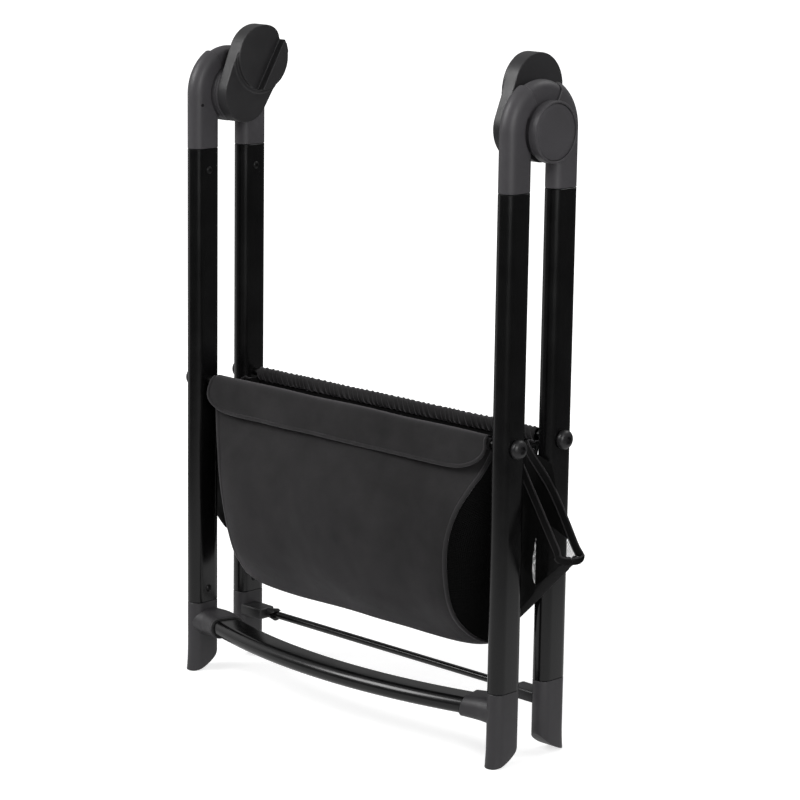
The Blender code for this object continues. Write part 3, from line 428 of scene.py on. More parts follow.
def crisp(obj, width, segments, deg):
    """Small moulded radii along the hard edges."""
    reshape(obj, BEVEL={"width": width, "segments": segments, "limit_method": "ANGLE",
                        "angle_limit": math.radians(deg)})
    shade(obj, deg)


def stands_for(obj, nodes):
    if nodes:
        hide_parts(*nodes)
    return obj


def done(obj, body, slot_name, *nodes):
    """Sets the body a finished piece rides on and the nodes that it stands for; its record slot is not used.
    """
    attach(obj, body)
    return stands_for(obj, nodes)


def ease(points, t):
    """A smooth curve through stations of equal weight; t runs from 0 to 1."""
    n = len(points) - 1
    k = min(int(t * n), n - 1)
    f = t * n - k
    nearest = (points[max(k - 1, 0)], points[k], points[k + 1], points[min(k + 2, n)])
    return [0.5 * (2 * b + (c - a) * f + (2 * a - 5 * b + 4 * c - d) * f * f
                   + (3 * b - a - 3 * c + d) * f ** 3) for a, b, c, d in zip(*nearest)]


# Legs
def leg_axis(side, end):
    return side * half_x, axis_y + end * half_y


def tube_outline(inset):
    return oval(tube_deep - 2 * inset, tube_wide - 2 * inset, 20)


def on_leg(obj, slot_name, side, end, label):
    """A finished piece of one leg, which stands for the node of that label."""
    done(obj, frame_body[end], slot_name, f"{word[end]}_{label}_{hand[side]}")


def leg(side, end):
    x, y = leg_axis(side, end)
    low, high = foot_top + gap, tube_top - gap
    edge, straight, middle = 0.0004, 0.02, 0.345
    rows = []
    for z, inset in ((low, edge), (low + edge, 0), (low + straight, 0), (middle, 0), (high - straight, 0),
                     (high - edge, 0), (high, edge)):
        rows.append([(x + px, y + py, z) for px, py in tube_outline(inset)])
    on_leg(loft(f"{word[end]}_tube_{hand[side]}", rows, tube_black), "tube", side, end, "leg")


def screw(side, end, label, z):
    """Domed cross-recess screw on a leg's inside face."""
    x, y = side * (half_x - tube_wide / 2), axis_y + end * half_y
    h, d, root = leg_screw_head, leg_screw_dome, -0.0008
    head = turned_x(f"{label}_screw_head_{word[end]}_{hand[side]}", [
        (0, d + gap), (h * 0.35, d * 0.96 + gap), (h * 0.7, d * 0.72 + gap), (h * 0.93, d * 0.3 + gap),
        (h, gap), (h, root), (0, root)], -side, (x, y, z), dark_steel, 32)
    cross_turn, cross_size = 0.35, (0.0016, 0.0007, 0.0034)
    cross = []
    for turn in (cross_turn, cross_turn + math.pi / 2):
        bm = cube(cross_size)
        bmesh.ops.rotate(bm, cent=(0, 0, 0), matrix=Matrix.Rotation(turn, 3, "X"), verts=bm.verts)
        bmesh.ops.translate(bm, vec=(x - side * (d + gap), y, z), verts=bm.verts)
        cross.append(from_bmesh("cross", bm, None))
    for cutter in cross:
        boolean(head, cutter)
    shade(head, 32)
    done(head, frame_body[end], "steel", f"{label}_screw_{word[end]}_{hand[side]}")


# Elbows, discs and core rings
def swept_oval(name, x, stations, mat, smooth_deg=35):
    """Ovals set square to a path in the plane of Y and Z, at (y, z, outward_y, outward_z, deep, wide)."""
    rows = []
    for y, z, oy, oz, deep, wide in stations:
        rows.append([(x + px, axis_y + y + oy * py, z + oz * py) for px, py in oval(deep, wide, 18)])
    return loft(name, rows, mat, smooth_deg)


def arc_station(end, a, deep, wide):
    """A station on the circle of the leg's centre line, at angle a from the top."""
    s, c = math.sin(a), math.cos(a)
    return (end * half_y * s, hub_z + half_y * c, end * s, c, deep, wide)


def elbow(side, end):
    x = side * half_x
    low, lip, straight, edge = tube_top + gap, 0.0003, 0.02, 0.0007
    stations = []
    for z, inset in ((low, lip), (low + lip, 0), (low + straight, 0), (hub_z - 0.015, 0)):
        stations.append((end * half_y, z, end, 0, tube_deep - 2 * inset, tube_wide - 2 * inset))
    steps = 30
    first, last = math.pi / 2, math.radians(elbow_end_deg)
    for k in range(steps + 1):
        a = first + (last + edge / half_y - first) * k / steps
        stations.append(arc_station(end, a, tube_deep, tube_wide))
    stations.append(arc_station(end, last, tube_deep - 2 * edge, tube_wide - 2 * edge))
    name = f"{word[end]}_elbow_shell_{hand[side]}"
    obj = swept_oval(name, x, stations, plastic)
    # the elbow is hollow where the core ring slides in
    spare, past_end, hollow = 0.0008, math.radians(2), math.radians(62.5)
    inner = [arc_station(end, last - past_end + hollow * k / 24, ring_deep + spare, ring_wide + spare)
             for k in range(25)]
    boolean(obj, swept_oval(name + "_mouth", x, inner, None))
    # the drums stand in a narrow open groove
    groove, groove_end = 0.0010, 0.03
    for way in ways:
        boolean(obj, cylinder(name + "_groove", drum_radius + groove, lap_half, groove_end, way,
                              (x, axis_y, hub_z)))
    if end < 0:
        eye_radius, eye_deep, eye_out, eye_drop = 0.0019, 0.006, 0.0095, 0.012
        boolean(obj, cylinder(name + "_eye", eye_radius, eye_deep, -eye_deep, 1,
                              (x - side * tube_wide / 2, axis_y - half_y - eye_out, hub_z - eye_drop), 24))
    coat(obj, plastic)
    shade(obj, 35)
    on_leg(obj, "plastic", side, end, "elbow")


def turned_on_hub(label, profile, side, way, mat=plastic, steps=96):
    return turned_x(f"{label}_{hand[side]}", profile, way, (side * half_x, axis_y, hub_z), mat, steps)


def core(side):
    reach = math.radians(core_reach_deg)
    stations = [arc_station(1, -reach + 2 * reach * k / 40, ring_deep, ring_wide) for k in range(41)]
    obj = swept_oval(f"core_ring_{hand[side]}", side * half_x, stations, plastic)
    small, large, edge = drum_radius + 0.0002, drum_radius + 0.0004, 0.0008
    # the web in the groove between the drums takes the dark plastic as painted shade
    web = turned_on_hub("core_web", [
        (0, lap_half - gap), (small, lap_half - gap), (large, lap_half - edge), (large, -lap_half + edge),
        (small, -lap_half + gap), (0, -lap_half + gap)], side, 1, plastic_dark, 72)
    done(obj, "hub", "plastic", f"hub_core_{hand[side]}")
    done(web, "hub", "plastic")


def outer_drum(side):
    """Disc on the outside of a hub with a narrow neck, a rounded rim and the cup round the button."""
    r, o = drum_radius, drum_out
    neck = r - neck_deep
    inner = r - cup_wall
    narrow, bottom, step = neck - cup_wall / 2, lap_half + 0.0033, neck_end + 0.0006
    obj = turned_on_hub("hub_disc", [
        (0, bottom), (narrow, bottom), (narrow, step), (inner, step), (inner, o - 0.0008),
        (inner + 0.0004, o - 0.0002), (inner + 0.0009, o), (r - 0.0012, o), (r - 0.0005, o - 0.0003),
        (r - 0.0001, o - 0.0010), (r, o - 0.0020), (r, neck_end), (r - 0.0008, neck_end - 0.0006),
        (neck, neck_end - 0.0008), (neck, lap_half + gap), (0, lap_half + gap)], side, side)
    done(obj, "front_frame", "plastic")
    b, cap = inner - gap, o - 0.0006
    skirt, skirt_wall, plate = cap - 0.0047, 0.002, cap - 0.0034
    button = turned_on_hub("button_face", [
        (0, cap - 0.0001), (0.012, cap), (0.024, cap - 0.0002), (b - 0.0012, cap - 0.0004),
        (b - 0.0004, cap - 0.0008), (b, cap - 0.0015), (b, skirt), (b - skirt_wall, skirt),
        (b - skirt_wall, plate), (0, plate)], side, side)
    done(button, f"button_{hand[side]}", "plastic", f"release_button_{hand[side]}")


def spring(side):
    """The button's spring, copied from its node as it stands; it isn't shortened here as the button goes in.
    """
    node = f"button_spring_{hand[side]}"
    obj = put(f"spring_coil_{hand[side]}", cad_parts[node].data.copy(), steel)
    done(obj, "hub", "steel", node)
    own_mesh(obj)


def inner_drum(side):
    """Drum behind the cot bracket, with a thin parting groove."""
    r, edge = drum_radius, 0.0006
    obj = turned_on_hub("hub_drum", [
        (0, lap_half + gap), (r, lap_half + gap), (r, drum_in - 0.0052), (r - edge, drum_in - 0.0048),
        (r - edge, drum_in - 0.0042), (r, drum_in - 0.0038), (r, drum_in - edge), (r - edge, drum_in),
        (0, drum_in)], side, -side)
    done(obj, "rear_frame", "plastic")


# Cot brackets
def polygon_x(name, loop, x_from, x_to, across_axis, up_axis, origin):
    """A solid from an outline in the plane square to X, between two places along X."""
    rows = []
    for x in (x_from, x_to):
        rows.append([(x, origin[1] + across_axis[1] * u + up_axis[1] * v,
                      origin[2] + across_axis[2] * u + up_axis[2] * v) for u, v in loop])
    return loft(name, rows)


def two_lobes(steps):
    """Outline round the lobe on the hub and the larger one above it."""
    lean = math.asin((lobe_radius - puck_radius) / puck_reach)
    return (arc((0, 0), lobe_radius, math.pi - lean, math.pi + 2 * lean, steps)
            + arc((0, puck_reach), puck_radius, lean, math.pi - 2 * lean, steps))


def below_lobe(radius, leave_deg, steps, far=0.08):
    """Outline of all that lies below a round line about the upper lobe's centre."""
    loop = arc((0, puck_reach), radius, -math.radians(leave_deg), -math.radians(180 - 2 * leave_deg), steps)
    side_z = loop[0][1]
    return loop + [(-far, side_z), (-far, -far), (far, -far), (far, side_z)]


def dished_face():
    """What lies in front of the face that carries the cot: it falls away from its ridge to the guard."""
    clear = 2 * puck_radius
    shape = [(guard_offset, clear), (-clear, clear), (-clear, puck_in - face_lip)]
    for k in range(13):
        s = k / 12
        shape.append((-puck_radius + (puck_radius - face_ridge) * s, puck_in - face_lip * (1 - s) ** 2))
    for k in range(1, 33):
        s = k / 32
        shape.append((-face_ridge + (guard_offset + face_ridge) * s, puck_in - face_drop * s ** 2.4))
    return shape


def bracket(side):
    """Two-lobed moulded plate; the upper lobe has a dished face beside a raised guard."""
    x, inward = side * half_x, -side
    t, g = math.radians(puck_tilt_deg), math.radians(guard_tilt_deg)
    up, back = (0, math.sin(t), math.cos(t)), (0, math.cos(t), -math.sin(t))
    along, out_u = (0, math.sin(g), math.cos(g)), (0, math.cos(g), -math.sin(g))
    centre = (x, axis_y + puck_reach * math.sin(t), hub_z + puck_reach * math.cos(t))
    steps = 56

    def plate(label, loop, near, far):
        return polygon_x(label, loop, x + inward * near, x + inward * far, back, up, (0, axis_y, hub_z))

    obj = plate(f"cot_rest_{hand[side]}", two_lobes(steps), bracket_out, guard_in)
    for radius, leave_deg, near, far in ((puck_radius, 3.0, bracket_in + rim_step, guard_in + 0.01),
                                         (rim_radius, 12.0, bracket_in, guard_in + 0.012)):
        boolean(obj, plate("below_lobe", below_lobe(radius, leave_deg, steps), near, far))
    rows = []
    for w in (-0.1, 0.1):
        rows.append([(centre[0] + inward * d, centre[1] + out_u[1] * u + along[1] * w,
                      centre[2] + out_u[2] * u + along[2] * w) for u, d in dished_face()])
    face = loft("dished_face", rows)
    boolean(face, cylinder("puck", puck_radius + 0.0003, -0.01, 0.1, inward, centre), "INTERSECT")
    boolean(obj, face)
    # the guard's upper end stands a little past the round outline and is cut off level
    near = guard_offset + 0.0004
    tip = [(near, 0.0150), (near, 0.0262), (guard_offset + 0.0052, 0.0300),
           (guard_offset + 0.0120, 0.0235), (guard_offset + 0.0145, 0.0150)]
    boolean(obj, polygon_x("guard_tip", tip, centre[0] + inward * bracket_in,
                           centre[0] + inward * (guard_in - 0.0003), out_u, along, centre), "UNION")
    soften(obj, 0.00058, 6)
    coat(obj, painted_shade_plastic_rest)
    done(obj, "rear_frame", "plastic", f"cot_bracket_{hand[side]}")


# Feet
def foot(side, end):
    x, y = leg_axis(side, end)
    edge = 0.0007
    # height, and the share of the flare there; -1 marks the chamfer at the top
    levels = [(-0.02, 1.5)]
    for k in range(9):
        t = k / 8
        levels.append((foot_flare_height * t, (1 - t) ** 2))
    levels += [(foot_top - gap - edge, 0.0), (foot_top - gap, -1.0)]
    rows = []
    for z, grow in levels:
        flare = foot_flare * max(grow, 0) / (tube_deep / 2)
        inset = edge if grow < 0 else 0.0
        rows.append([(x + px, y + py + end * max(0.0, end * py) * flare, z)
                     for px, py in tube_outline(inset)])
    obj = loft(f"{word[end]}_foot_shell_{hand[side]}", rows, painted_shade_plastic_foot, 35)
    rows = [[(x + w, y + end * py, pz) for py, pz in below_sole()] for w in (-0.03, 0.03)]
    boolean(obj, loft("sole", rows))
    crisp(obj, edge, 3, 40)
    on_leg(obj, "plastic", side, end, "foot")
    if end < 0:
        socket(side)
    else:
        block(side)


def below_sole():
    """What lies below the sole: flat at the tip, then a shallow arc up to the heel."""
    tip = tube_deep / 2 + foot_flare
    flat_end = tip - foot_tip_flat
    chord_y, chord_z = -(flat_end + tube_deep / 2), foot_heel_rise
    chord = math.hypot(chord_y, chord_z)
    away = math.sqrt(foot_sole_radius ** 2 - chord ** 2 / 4)
    centre = (flat_end + chord_y / 2 + chord_z / chord * away, chord_z / 2 + -chord_y / chord * away)
    first = math.atan2(0 - centre[1], flat_end - centre[0])
    last = math.atan2(foot_heel_rise - centre[1], -tube_deep / 2 - centre[0])
    sole = arc(centre, foot_sole_radius, first, last - first, 32)[1:]
    past, deep = 5, -0.04
    end_y, end_z = [b + (b - a) * past for a, b in zip(sole[-2], sole[-1])]
    return [(tip + 0.01, 0.0), (flat_end, 0.0), *sole, (end_y, end_z), (end_y, deep), (tip + 0.01, deep)]


def bar_y(x):
    return -(bar_bow_y - (bar_bend_radius - math.sqrt(bar_bend_radius ** 2 - x * x)))


def bar_slope(x):
    return x / math.sqrt(bar_bend_radius ** 2 - x * x)


def socket(side):
    """Saddle-shaped socket that grows out of a front foot and closes on the crossbar."""
    rows = []
    count, mouth_inset, tilt = 26, 0.0016, 0.25
    for k in range(count + 1):
        t = k / count
        sx = bar_mouth_x + (half_x + 0.001 - bar_mouth_x) * t
        swell = math.sin(math.pi * min(1.0, t * 1.3)) * 0.0012
        grow = t ** 2.2
        deep = (bar_wide + 2 * socket_wall) * (1 - grow) + (socket_root_wide - 0.003) * grow + swell
        tall = (bar_thick + 2 * socket_wall) * (1 - grow) + (socket_root_thick + 0.003) * grow + swell
        if k == 0:
            deep, tall = deep - mouth_inset, tall - mouth_inset
        if k == 1:
            sx = bar_mouth_x + mouth_inset / 2
        cy = bar_y(min(sx, bar_end_x)) * (1 - t) - half_y * t
        slope, lean = bar_slope(sx) * (1 - t), tilt * (1 - t)
        rows.append([(side * (sx - slope * v + lean * u), axis_y + cy + v, bar_z + u)
                     for u, v in oval(deep, tall, 18)])
    obj = loft(f"bar_socket_{hand[side]}", rows, painted_shade_plastic_foot, 40)
    done(obj, "front_frame", "plastic")
    seal = []
    for past_mouth, spare in ((-0.0011, 0.0002), (-0.0011, 0.0011), (0.0006, 0.0013)):
        sx = bar_mouth_x + past_mouth
        slope = bar_slope(sx)
        seal.append([(side * (sx - slope * v + tilt * u), axis_y + bar_y(sx) + v, bar_z + u)
                     for u, v in oval(bar_wide + 2 * spare, bar_thick + 2 * spare, 18)])
    done(loft(f"bar_seal_{hand[side]}", seal, seal_dark), "front_frame", "plastic")


def block(side):
    """Small block with rounded edges on a rear foot, which carries the straight bar."""
    xa, xb = side * (half_x - block_outer), side * (half_x - block_inner)
    bm = cube((abs(xb - xa), block_rear_y - block_front_y, block_tall))
    bmesh.ops.bevel(bm, geom=bm.edges[:], offset=0.0026, segments=3, affect="EDGES", profile=0.5)
    bmesh.ops.translate(bm, vec=((xa + xb) / 2, axis_y + (block_front_y + block_rear_y) / 2, rod_z),
                        verts=bm.verts)
    done(from_bmesh(f"bar_block_{hand[side]}", bm, plastic_dark, 35), "rear_frame", "plastic")


def crossbar():
    rows = []
    count = 72
    for k in range(count + 1):
        x = -bar_end_x + 2 * bar_end_x * k / count
        n = Vector((bar_slope(x), -1, 0)).normalized()
        rows.append([(x + n.x * -v, axis_y + bar_y(x) + n.y * -v, bar_z + u)
                     for u, v in oval(bar_wide, bar_thick, 20)])
    done(loft("bowed_bar", rows, tube_black), "front_frame", "tube", "front_crossbar")


def rear_bar():
    half, edge = half_x - block_inner + rod_bury, 0.0004
    rows = []
    for x in (-half, -half + edge, -0.1, 0, 0.1, half - edge, half):
        r = rod_radius - (edge if abs(x) > half - edge / 2 else 0)
        rows.append([(x, axis_y + rod_y + a, rod_z + b) for a, b in ring(r, 40)])
    done(loft("straight_bar", rows, tube_black), "rear_frame", "tube", "rear_crossbar")
    root = half_x - block_inner
    far, line_y = root - collar_length - 0.001, axis_y + rod_y
    profile = [(0, root + gap), (collar_small, root + gap), (collar_small, root - 0.0035),
               (collar_small + 0.0006, root - 0.0065), (collar_large - 0.0003, root - 0.0105),
               (collar_large, root - 0.0117), (collar_large - 0.0005, root - collar_length),
               (0, root - collar_length)]
    for side in ways:
        collar = turned_x(f"bar_collar_{hand[side]}", profile, side, (0, line_y, rod_z), plastic_dark, 48)
        # it is split, so that it can grip the bar
        slit_start, slit_half, slit_out = root - 0.0045, 0.0036, 0.012
        rows = [[(side * slit_start, line_y + y, rod_z), (side * far, line_y + y, rod_z + slit_half),
                 (side * far, line_y + y, rod_z - slit_half)] for y in (-slit_out, slit_out)]
        boolean(collar, loft("slit", rows))
        coat(collar, plastic_dark)
        shade(collar, 32)
        done(collar, "rear_frame", "plastic", f"rear_bar_collar_{hand[side]}")


def knob(side, end):
    """Round cap with a domed face and a hex recess."""
    x, y = leg_axis(side, end)
    base = tube_wide / 2 + gap
    r, t = knob_radius, knob_thick
    flat_share, dome = 0.35, 0.0048
    profile = [(0, base + t)]
    for k in range(1, 13):
        a = math.radians(90 * k / 12)
        share = flat_share + (1 - flat_share) * math.sin(a)
        profile.append((r * share, base + t - dome * (1 - math.cos(a))))
    profile += [(r, base + 0.0018), (r * 0.94, base + 0.0005), (r * 0.88, base), (0, base)]
    obj = turned_x(f"{word[end]}_cap_{hand[side]}", profile, side, (x, y, knob_z), plastic_knob, 64)
    rows = [[(x + side * w, y + a, knob_z + b) for a, b in ring(knob_hex, 6)]
            for w in (base + t - knob_hex_deep, base + t + 0.002)]
    boolean(obj, loft("hex", rows))
    shade(obj, 32)
    on_leg(obj, "plastic", side, end, "knob")


# Basket
cloth, sleeve_cloth, ruffle_cloth = 0.0014, 0.0010, 0.0008
sleeve_reach = 0.2140
# Flat sizes, width and length, and the areas of the cloths that aren't rectangles. The photograph shows no
# cloth laid flat, so the areas are those of the cloths as they are formed here.
body_flat, body_area = (0.440, 0.520), 0.194
front_sleeve_flat = (0.428, 0.037)
flap_flat, flap_area = (0.428, 0.060), 0.0247
rear_sleeve_flat = (0.520, 0.041)
mesh_flat, mesh_area = (0.300, 0.240), 0.0408
flap_half, flap_drop = 0.2135, 0.0295
flap_corner = {-1: (0.041, 0.018), 1: (0.055, 0.029)}
crown, sag, fullness = 0.0040, 0.0100, 10
dent_broad, dent_fold, dent_small = 0.0062, 0.0017, 0.0003


def wave_noise(x, y, z):
    return noise.noise(Vector((x, y, z)))


def mirrored(side, p):
    return Vector((side * p[0], p[1], p[2]))


def with_uv(obj, flat):
    """Gives each corner the flat coordinates in metres of its vertex."""
    layer = obj.data.uv_layers.new(name="flat")
    for p in obj.data.polygons:
        for li in p.loop_indices:
            layer.data[li].uv = flat[obj.data.loops[li].vertex_index]
    return obj


def cloth_grid(name, place, across, down, flat_size, mat, thick=0, inside=None):
    """A sheet whose points are placed by a function of two shares, with flat coordinates and a thickness."""
    bm = bmesh.new()
    rows, flat = [], []
    for j in range(down + 1):
        rows.append([bm.verts.new(place(i / across, j / down)) for i in range(across + 1)])
        flat += [(flat_size[0] * i / across, flat_size[1] * j / down) for i in range(across + 1)]
    for a, b in zip(rows, rows[1:]):
        for i in range(across):
            bm.faces.new((a[i], a[i + 1], b[i + 1], b[i]))
    obj = with_uv(from_bmesh(name, bm, mat, closed=False), flat)
    if inside is not None:
        obj.data.flip_normals()
        obj.data.materials.append(inside)
    if thick:
        reshape(obj, SOLIDIFY={"thickness": thick, "offset": 0, "material_offset": int(inside is not None)})
    shade(obj)
    return obj


def hung(obj, slot_name, *nodes):
    """Cloth that crosses from the front half of the basket to the rear half."""
    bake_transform(obj)
    return stands_for(obj, nodes)


def seam_point(end, v, inset=0.0):
    drop, out, half = ease(seam, v)
    return Vector((half - inset, axis_y + end * max(out, 0.0002), knob_z - drop))


def dents(x, w, seed):
    """Soft broad folds of the hanging cloth, as a distance out of its surface."""
    broad = wave_noise(x * 7.0, w * 2.1, seed)
    folds = wave_noise(x * 16.0 + w * 2.5, w * 3.4 - x * 6.0, seed + 7.0)
    small = wave_noise(x * 55.0, w * 14.0, seed + 19.0)
    return dent_broad * broad + dent_fold * folds + dent_small * small


def half_of(w):
    """The basket's half and the share along its seam, for a share from the front (0) to the rear (2)."""
    return (-1, w) if w <= 1 else (1, 2 - w)


def body_point(u, w):
    """The basket's cloth from the front sleeve (w 0) under the floor (w 1) to the rear sleeve (w 2)."""
    end, v = half_of(w)
    drop, out, half = ease(seam, v)
    s = 2 * u - 1
    free = 1 - s ** fullness
    bulge = crown * math.sin(math.pi * v) * free
    hang = sag * v ** 3 * free + 0.0030 * v ** 4 * free * max(0.0, -s)
    x = s * half
    y = max(out, 0.0002) + bulge
    z = knob_z - drop - hang
    near_edge = min(1.0, (1 - abs(s)) * 9.0)
    quiet = near_edge * min(1.0, v * 7.0)
    d = dents(x, w, 3.0) * quiet
    # a dent moves a point out of the cloth: sideways on the panels, down on the floor
    lean = min(1.0, max(0.0, (v - 0.72) / 0.28))
    return Vector((x, axis_y + end * (y + d * (1 - lean)), z - 0.3 * d * lean))


def basket_body():
    def place(u, t):
        return body_point(u, 2 * t)
    obj = cloth_grid("basket_body", place, 150, 150, body_flat, cloth_dark, cloth, inside_painted_shade)
    return hung(obj, "cloth", "basket_front_half", "basket_rear_half")


def strip_along(name, points, normals, half_wide, half_thick, mat, steps=10):
    """A flattened tube with round edges along points; normals give its flat side's direction."""
    rows, flat = [], []
    run = 0.0
    n = len(points)
    for k, p in enumerate(points):
        tangent = (points[min(k + 1, n - 1)] - points[max(k - 1, 0)]).normalized()
        out = (normals[k] - tangent * normals[k].dot(tangent)).normalized()
        wide = tangent.cross(out)
        if k:
            run += (p - points[k - 1]).length
        turns = [2 * math.pi * i / (2 * steps) for i in range(2 * steps)]
        rows.append([p + wide * (half_wide * math.cos(a)) + out * (half_thick * math.sin(a)) for a in turns])
        flat += [(half_wide * 2 * i / steps, run) for i in range(2 * steps)]
    return with_uv(loft(name, rows, mat, 50), flat)


def side_binding(side):
    """Bias binding over the seam between the basket's cloth and its mesh end."""
    points, normals = [], []
    count, start, lift = 120, 0.03, 0.0006
    middle = Vector((0, axis_y, 0.24))
    for k in range(count + 1):
        w = start + (2 - 2 * start) * k / count
        p = seam_point(*half_of(w), 0.0024)
        q = body_point(0.94, w)
        along = body_point(0.94, min(w + 0.01, 2)) - body_point(0.94, max(w - 0.01, 0))
        n = (p - q).cross(along).normalized()
        if n.dot(p - middle) < 0:
            n = -n
        normals.append(mirrored(side, n))
        points.append(mirrored(side, p) + normals[-1] * lift)
    obj = strip_along(f"side_binding_{hand[side]}", points, normals, 0.0029, 0.0012, binding)
    return hung(obj, "cloth")


def front_sleeve():
    """Sleeve round the front rod, under the flap."""
    def place(u, t):
        s = 2 * u - 1
        a = 2 * math.pi * t
        wave = 0.00030 * math.sin(23 * s + 2 * math.sin(a)) + 0.0002 * math.sin(61 * s + a)
        r = basket_rod_radius + 0.0012 + wave
        return (s * sleeve_reach, axis_y - half_y + r * math.cos(a), knob_z + r * math.sin(a))
    obj = cloth_grid("front_sleeve_cloth", place, 120, 28, front_sleeve_flat, cloth_dark, sleeve_cloth)
    return done(obj, "basket_front", "cloth", "basket_front_sleeve")


def flap():
    """Cover flap over the front rod with rounded corners; its lower edge hangs a little unevenly."""
    start = 0.0080
    # height over the rod's axis, and how far in front of it as a share of start
    stations = [(-0.0035, 0.98), (0.0030, 0.88), (0.0064, 0.50), (0.0077, 0.0), (0.0066, -0.56),
                (0.0030, -0.95), (-0.0030, -1.12), (-0.0110, -1.27), (-0.0200, -1.40), (-flap_drop, -1.50)]

    def half_at(way, rise):
        wide, tall = flap_corner[way]
        below = max(0.0, 1 - (flap_drop + rise) / tall)
        above = max(0.0, (rise + 0.0120) / 0.0200)
        return flap_half - wide * (1 - math.sqrt(max(0.0, 1 - below * below))) - 0.0050 * above * above

    def place(u, t):
        rise, back = ease(stations, t)
        s = 2 * u - 1
        x = s * half_at(-1 if s < 0 else 1, rise)
        hang = max(0.0, t - 0.35) / 0.65
        lift = 0.0007 * wave_noise(x * 11.0, t * 2.0, 4.0) + 0.00025 * math.sin(46 * x + 3 * t)
        puff = hang * (0.0012 * wave_noise(x * 17.0 + 3, t * 3.0, 9.0) + 0.0006 * math.sin(31 * x + 1.3)
                       + 0.0005 * wave_noise(x * 60.0, t * 6.0, 2.0))
        drop = 0.0009 * hang * wave_noise(x * 9.0, 1.0, 14.0)
        y = axis_y - half_y + start * back - abs(puff) - 0.0006 * hang
        return (x, y, knob_z + rise + lift * (1 - hang * 0.6) + drop)
    obj = cloth_grid("front_flap", place, 180, 40, flap_flat, cloth_dark, cloth, inside_painted_shade)
    done(obj, "basket_front", "cloth", "basket_flap")
    # binding along the flap's lower edge and round its corners
    side_share, least_step, out = 0.58, 0.0012, Vector((0, -0.0006, 0))
    sides = [[Vector(place(u, 1 - side_share + side_share * k / 30)) for k in range(31)] for u in (0.0, 1.0)]
    edge = sides[0] + [Vector(place(k / 140, 1.0)) for k in range(1, 140)] + sides[1][::-1]
    line = [edge[0]]
    for p in edge[1:]:
        if (p - line[-1]).length > least_step:
            line.append(p)
    trim = strip_along("flap_binding", [p + out for p in line], [Vector((0, -1, 0.12))] * len(line),
                       0.0020, 0.0011, binding)
    done(trim, "basket_front", "cloth")
    return obj, trim


def rear_sleeve():
    """Rear sleeve, drawn in by its elastic into close slanting ruffles."""
    ruffle, crease = 0.0078, 0.0043

    def place(u, t):
        s = 2 * u - 1
        a = 2 * math.pi * t
        x = s * sleeve_reach
        slant = 0.30 * math.sin(a) + 0.55 * math.cos(a)
        drift = wave_noise(x * 34, 0.0, 2.0)
        k1 = math.sin(2 * math.pi * (x / ruffle + slant * 1.5 + 0.8 * drift))
        k2 = math.sin(2 * math.pi * (x / crease + slant * 2.2 + 1.3 * drift + 0.3))
        broad = wave_noise(x * 21.0, math.cos(a), math.sin(a) + 4.0)
        r = (basket_rod_radius + 0.0013 + 0.0010 * (0.5 + 0.5 * k1) ** 1.5 + 0.0004 * (0.5 + 0.5 * k2)
             + 0.0006 * broad)
        low = 0.0012 * (0.5 - 0.5 * math.sin(a))
        return (x, axis_y + half_y + (r + low) * math.cos(a), knob_z + (r + low) * math.sin(a))
    obj = cloth_grid("rear_sleeve_cloth", place, 560, 40, rear_sleeve_flat, cloth_dark, ruffle_cloth)
    return done(obj, "basket_rear", "cloth", "basket_rear_sleeve")


# Mesh ends
mesh_seam_gap, mesh_leg_clear, mesh_pass_y = 0.0012, 0.0020, 0.0105
mesh_tip_z = 0.2312
mesh_tip = {-1: (0.2900, 0.0070), 1: (0.2990, 0.0130)}
mouth_bulge = {-1: 0.0010, 1: 0.0100}
# where the dark sheet of painted shade between the legs ends: height, and distance from the middle
shade_between_legs_bounds = [
    (0.2900, 0.2560), (0.2627, 0.2555), (0.2470, 0.2522), (0.2337, 0.2499), (0.2204, 0.2482),
    (0.2096, 0.2478), (0.1992, 0.2496), (0.1912, 0.2524), (0.1840, 0.2500), (0.1735, 0.2410),
    (0.1640, 0.2290)]
shade_between_legs_near = 0.2215


def between(a, b, share):
    return tuple(p + (q - p) * share for p, q in zip(a, b))


def mesh_point(u, v):
    """Mesh end: from the front seam out between the legs to the fold and back to the rear seam."""
    low_drop, _, low_half = seam[-1]
    low_fold = (low_half + mesh_seam_gap, 0, knob_z - low_drop - gap)
    drop, out, half = ease(seam, v)
    out = max(out, gap)

    def layer(end):
        tip_x, tip_spread = mesh_tip[end]
        edge = (half - 0.0006, end * out, knob_z - drop)
        fold = between((tip_x, 0, mesh_tip_z), low_fold, v)
        fold = (fold[0], end * (tip_spread * (1 - v) + gap), fold[2])
        inside = half_x - tube_wide / 2 - mesh_leg_clear
        x = max(edge[0], min(inside, (edge[0] + fold[0]) / 2))
        share = (x - edge[0]) / max(fold[0] - edge[0], gap)
        z = edge[2] + (fold[2] - edge[2]) * share * min(1.0, 4 * v)
        narrow = (x, end * min(mesh_pass_y, out / 2), z)
        bulge = Vector((0, 0, mouth_bulge[end] * (1 - v) ** 4))
        middle = Vector(between(narrow, fold, 0.48)) + bulge
        near_fold = Vector(between(narrow, fold, 0.90)) + 0.3 * bulge
        return [edge, between(edge, narrow, 0.5), narrow, middle, near_fold, fold]

    x, y, z = ease(layer(-1) + layer(1)[::-1], u)
    soft = 0.0010 * wave_noise(x * 30, z * 22, 3 + 4 * u) * min(1, 6 * u, 6 * (1 - u))
    return Vector((x, axis_y + y + soft, z))


def mesh_walk(v, way, width):
    """The share u that lies the given width away from the fold along the mesh."""
    u, run, last = 0.5, 0.0, mesh_point(0.5, v)
    while run < width and 0.02 < u < 0.98:
        u += way * 0.01
        p = mesh_point(u, v)
        run += (p - last).length
        last = p
    return u


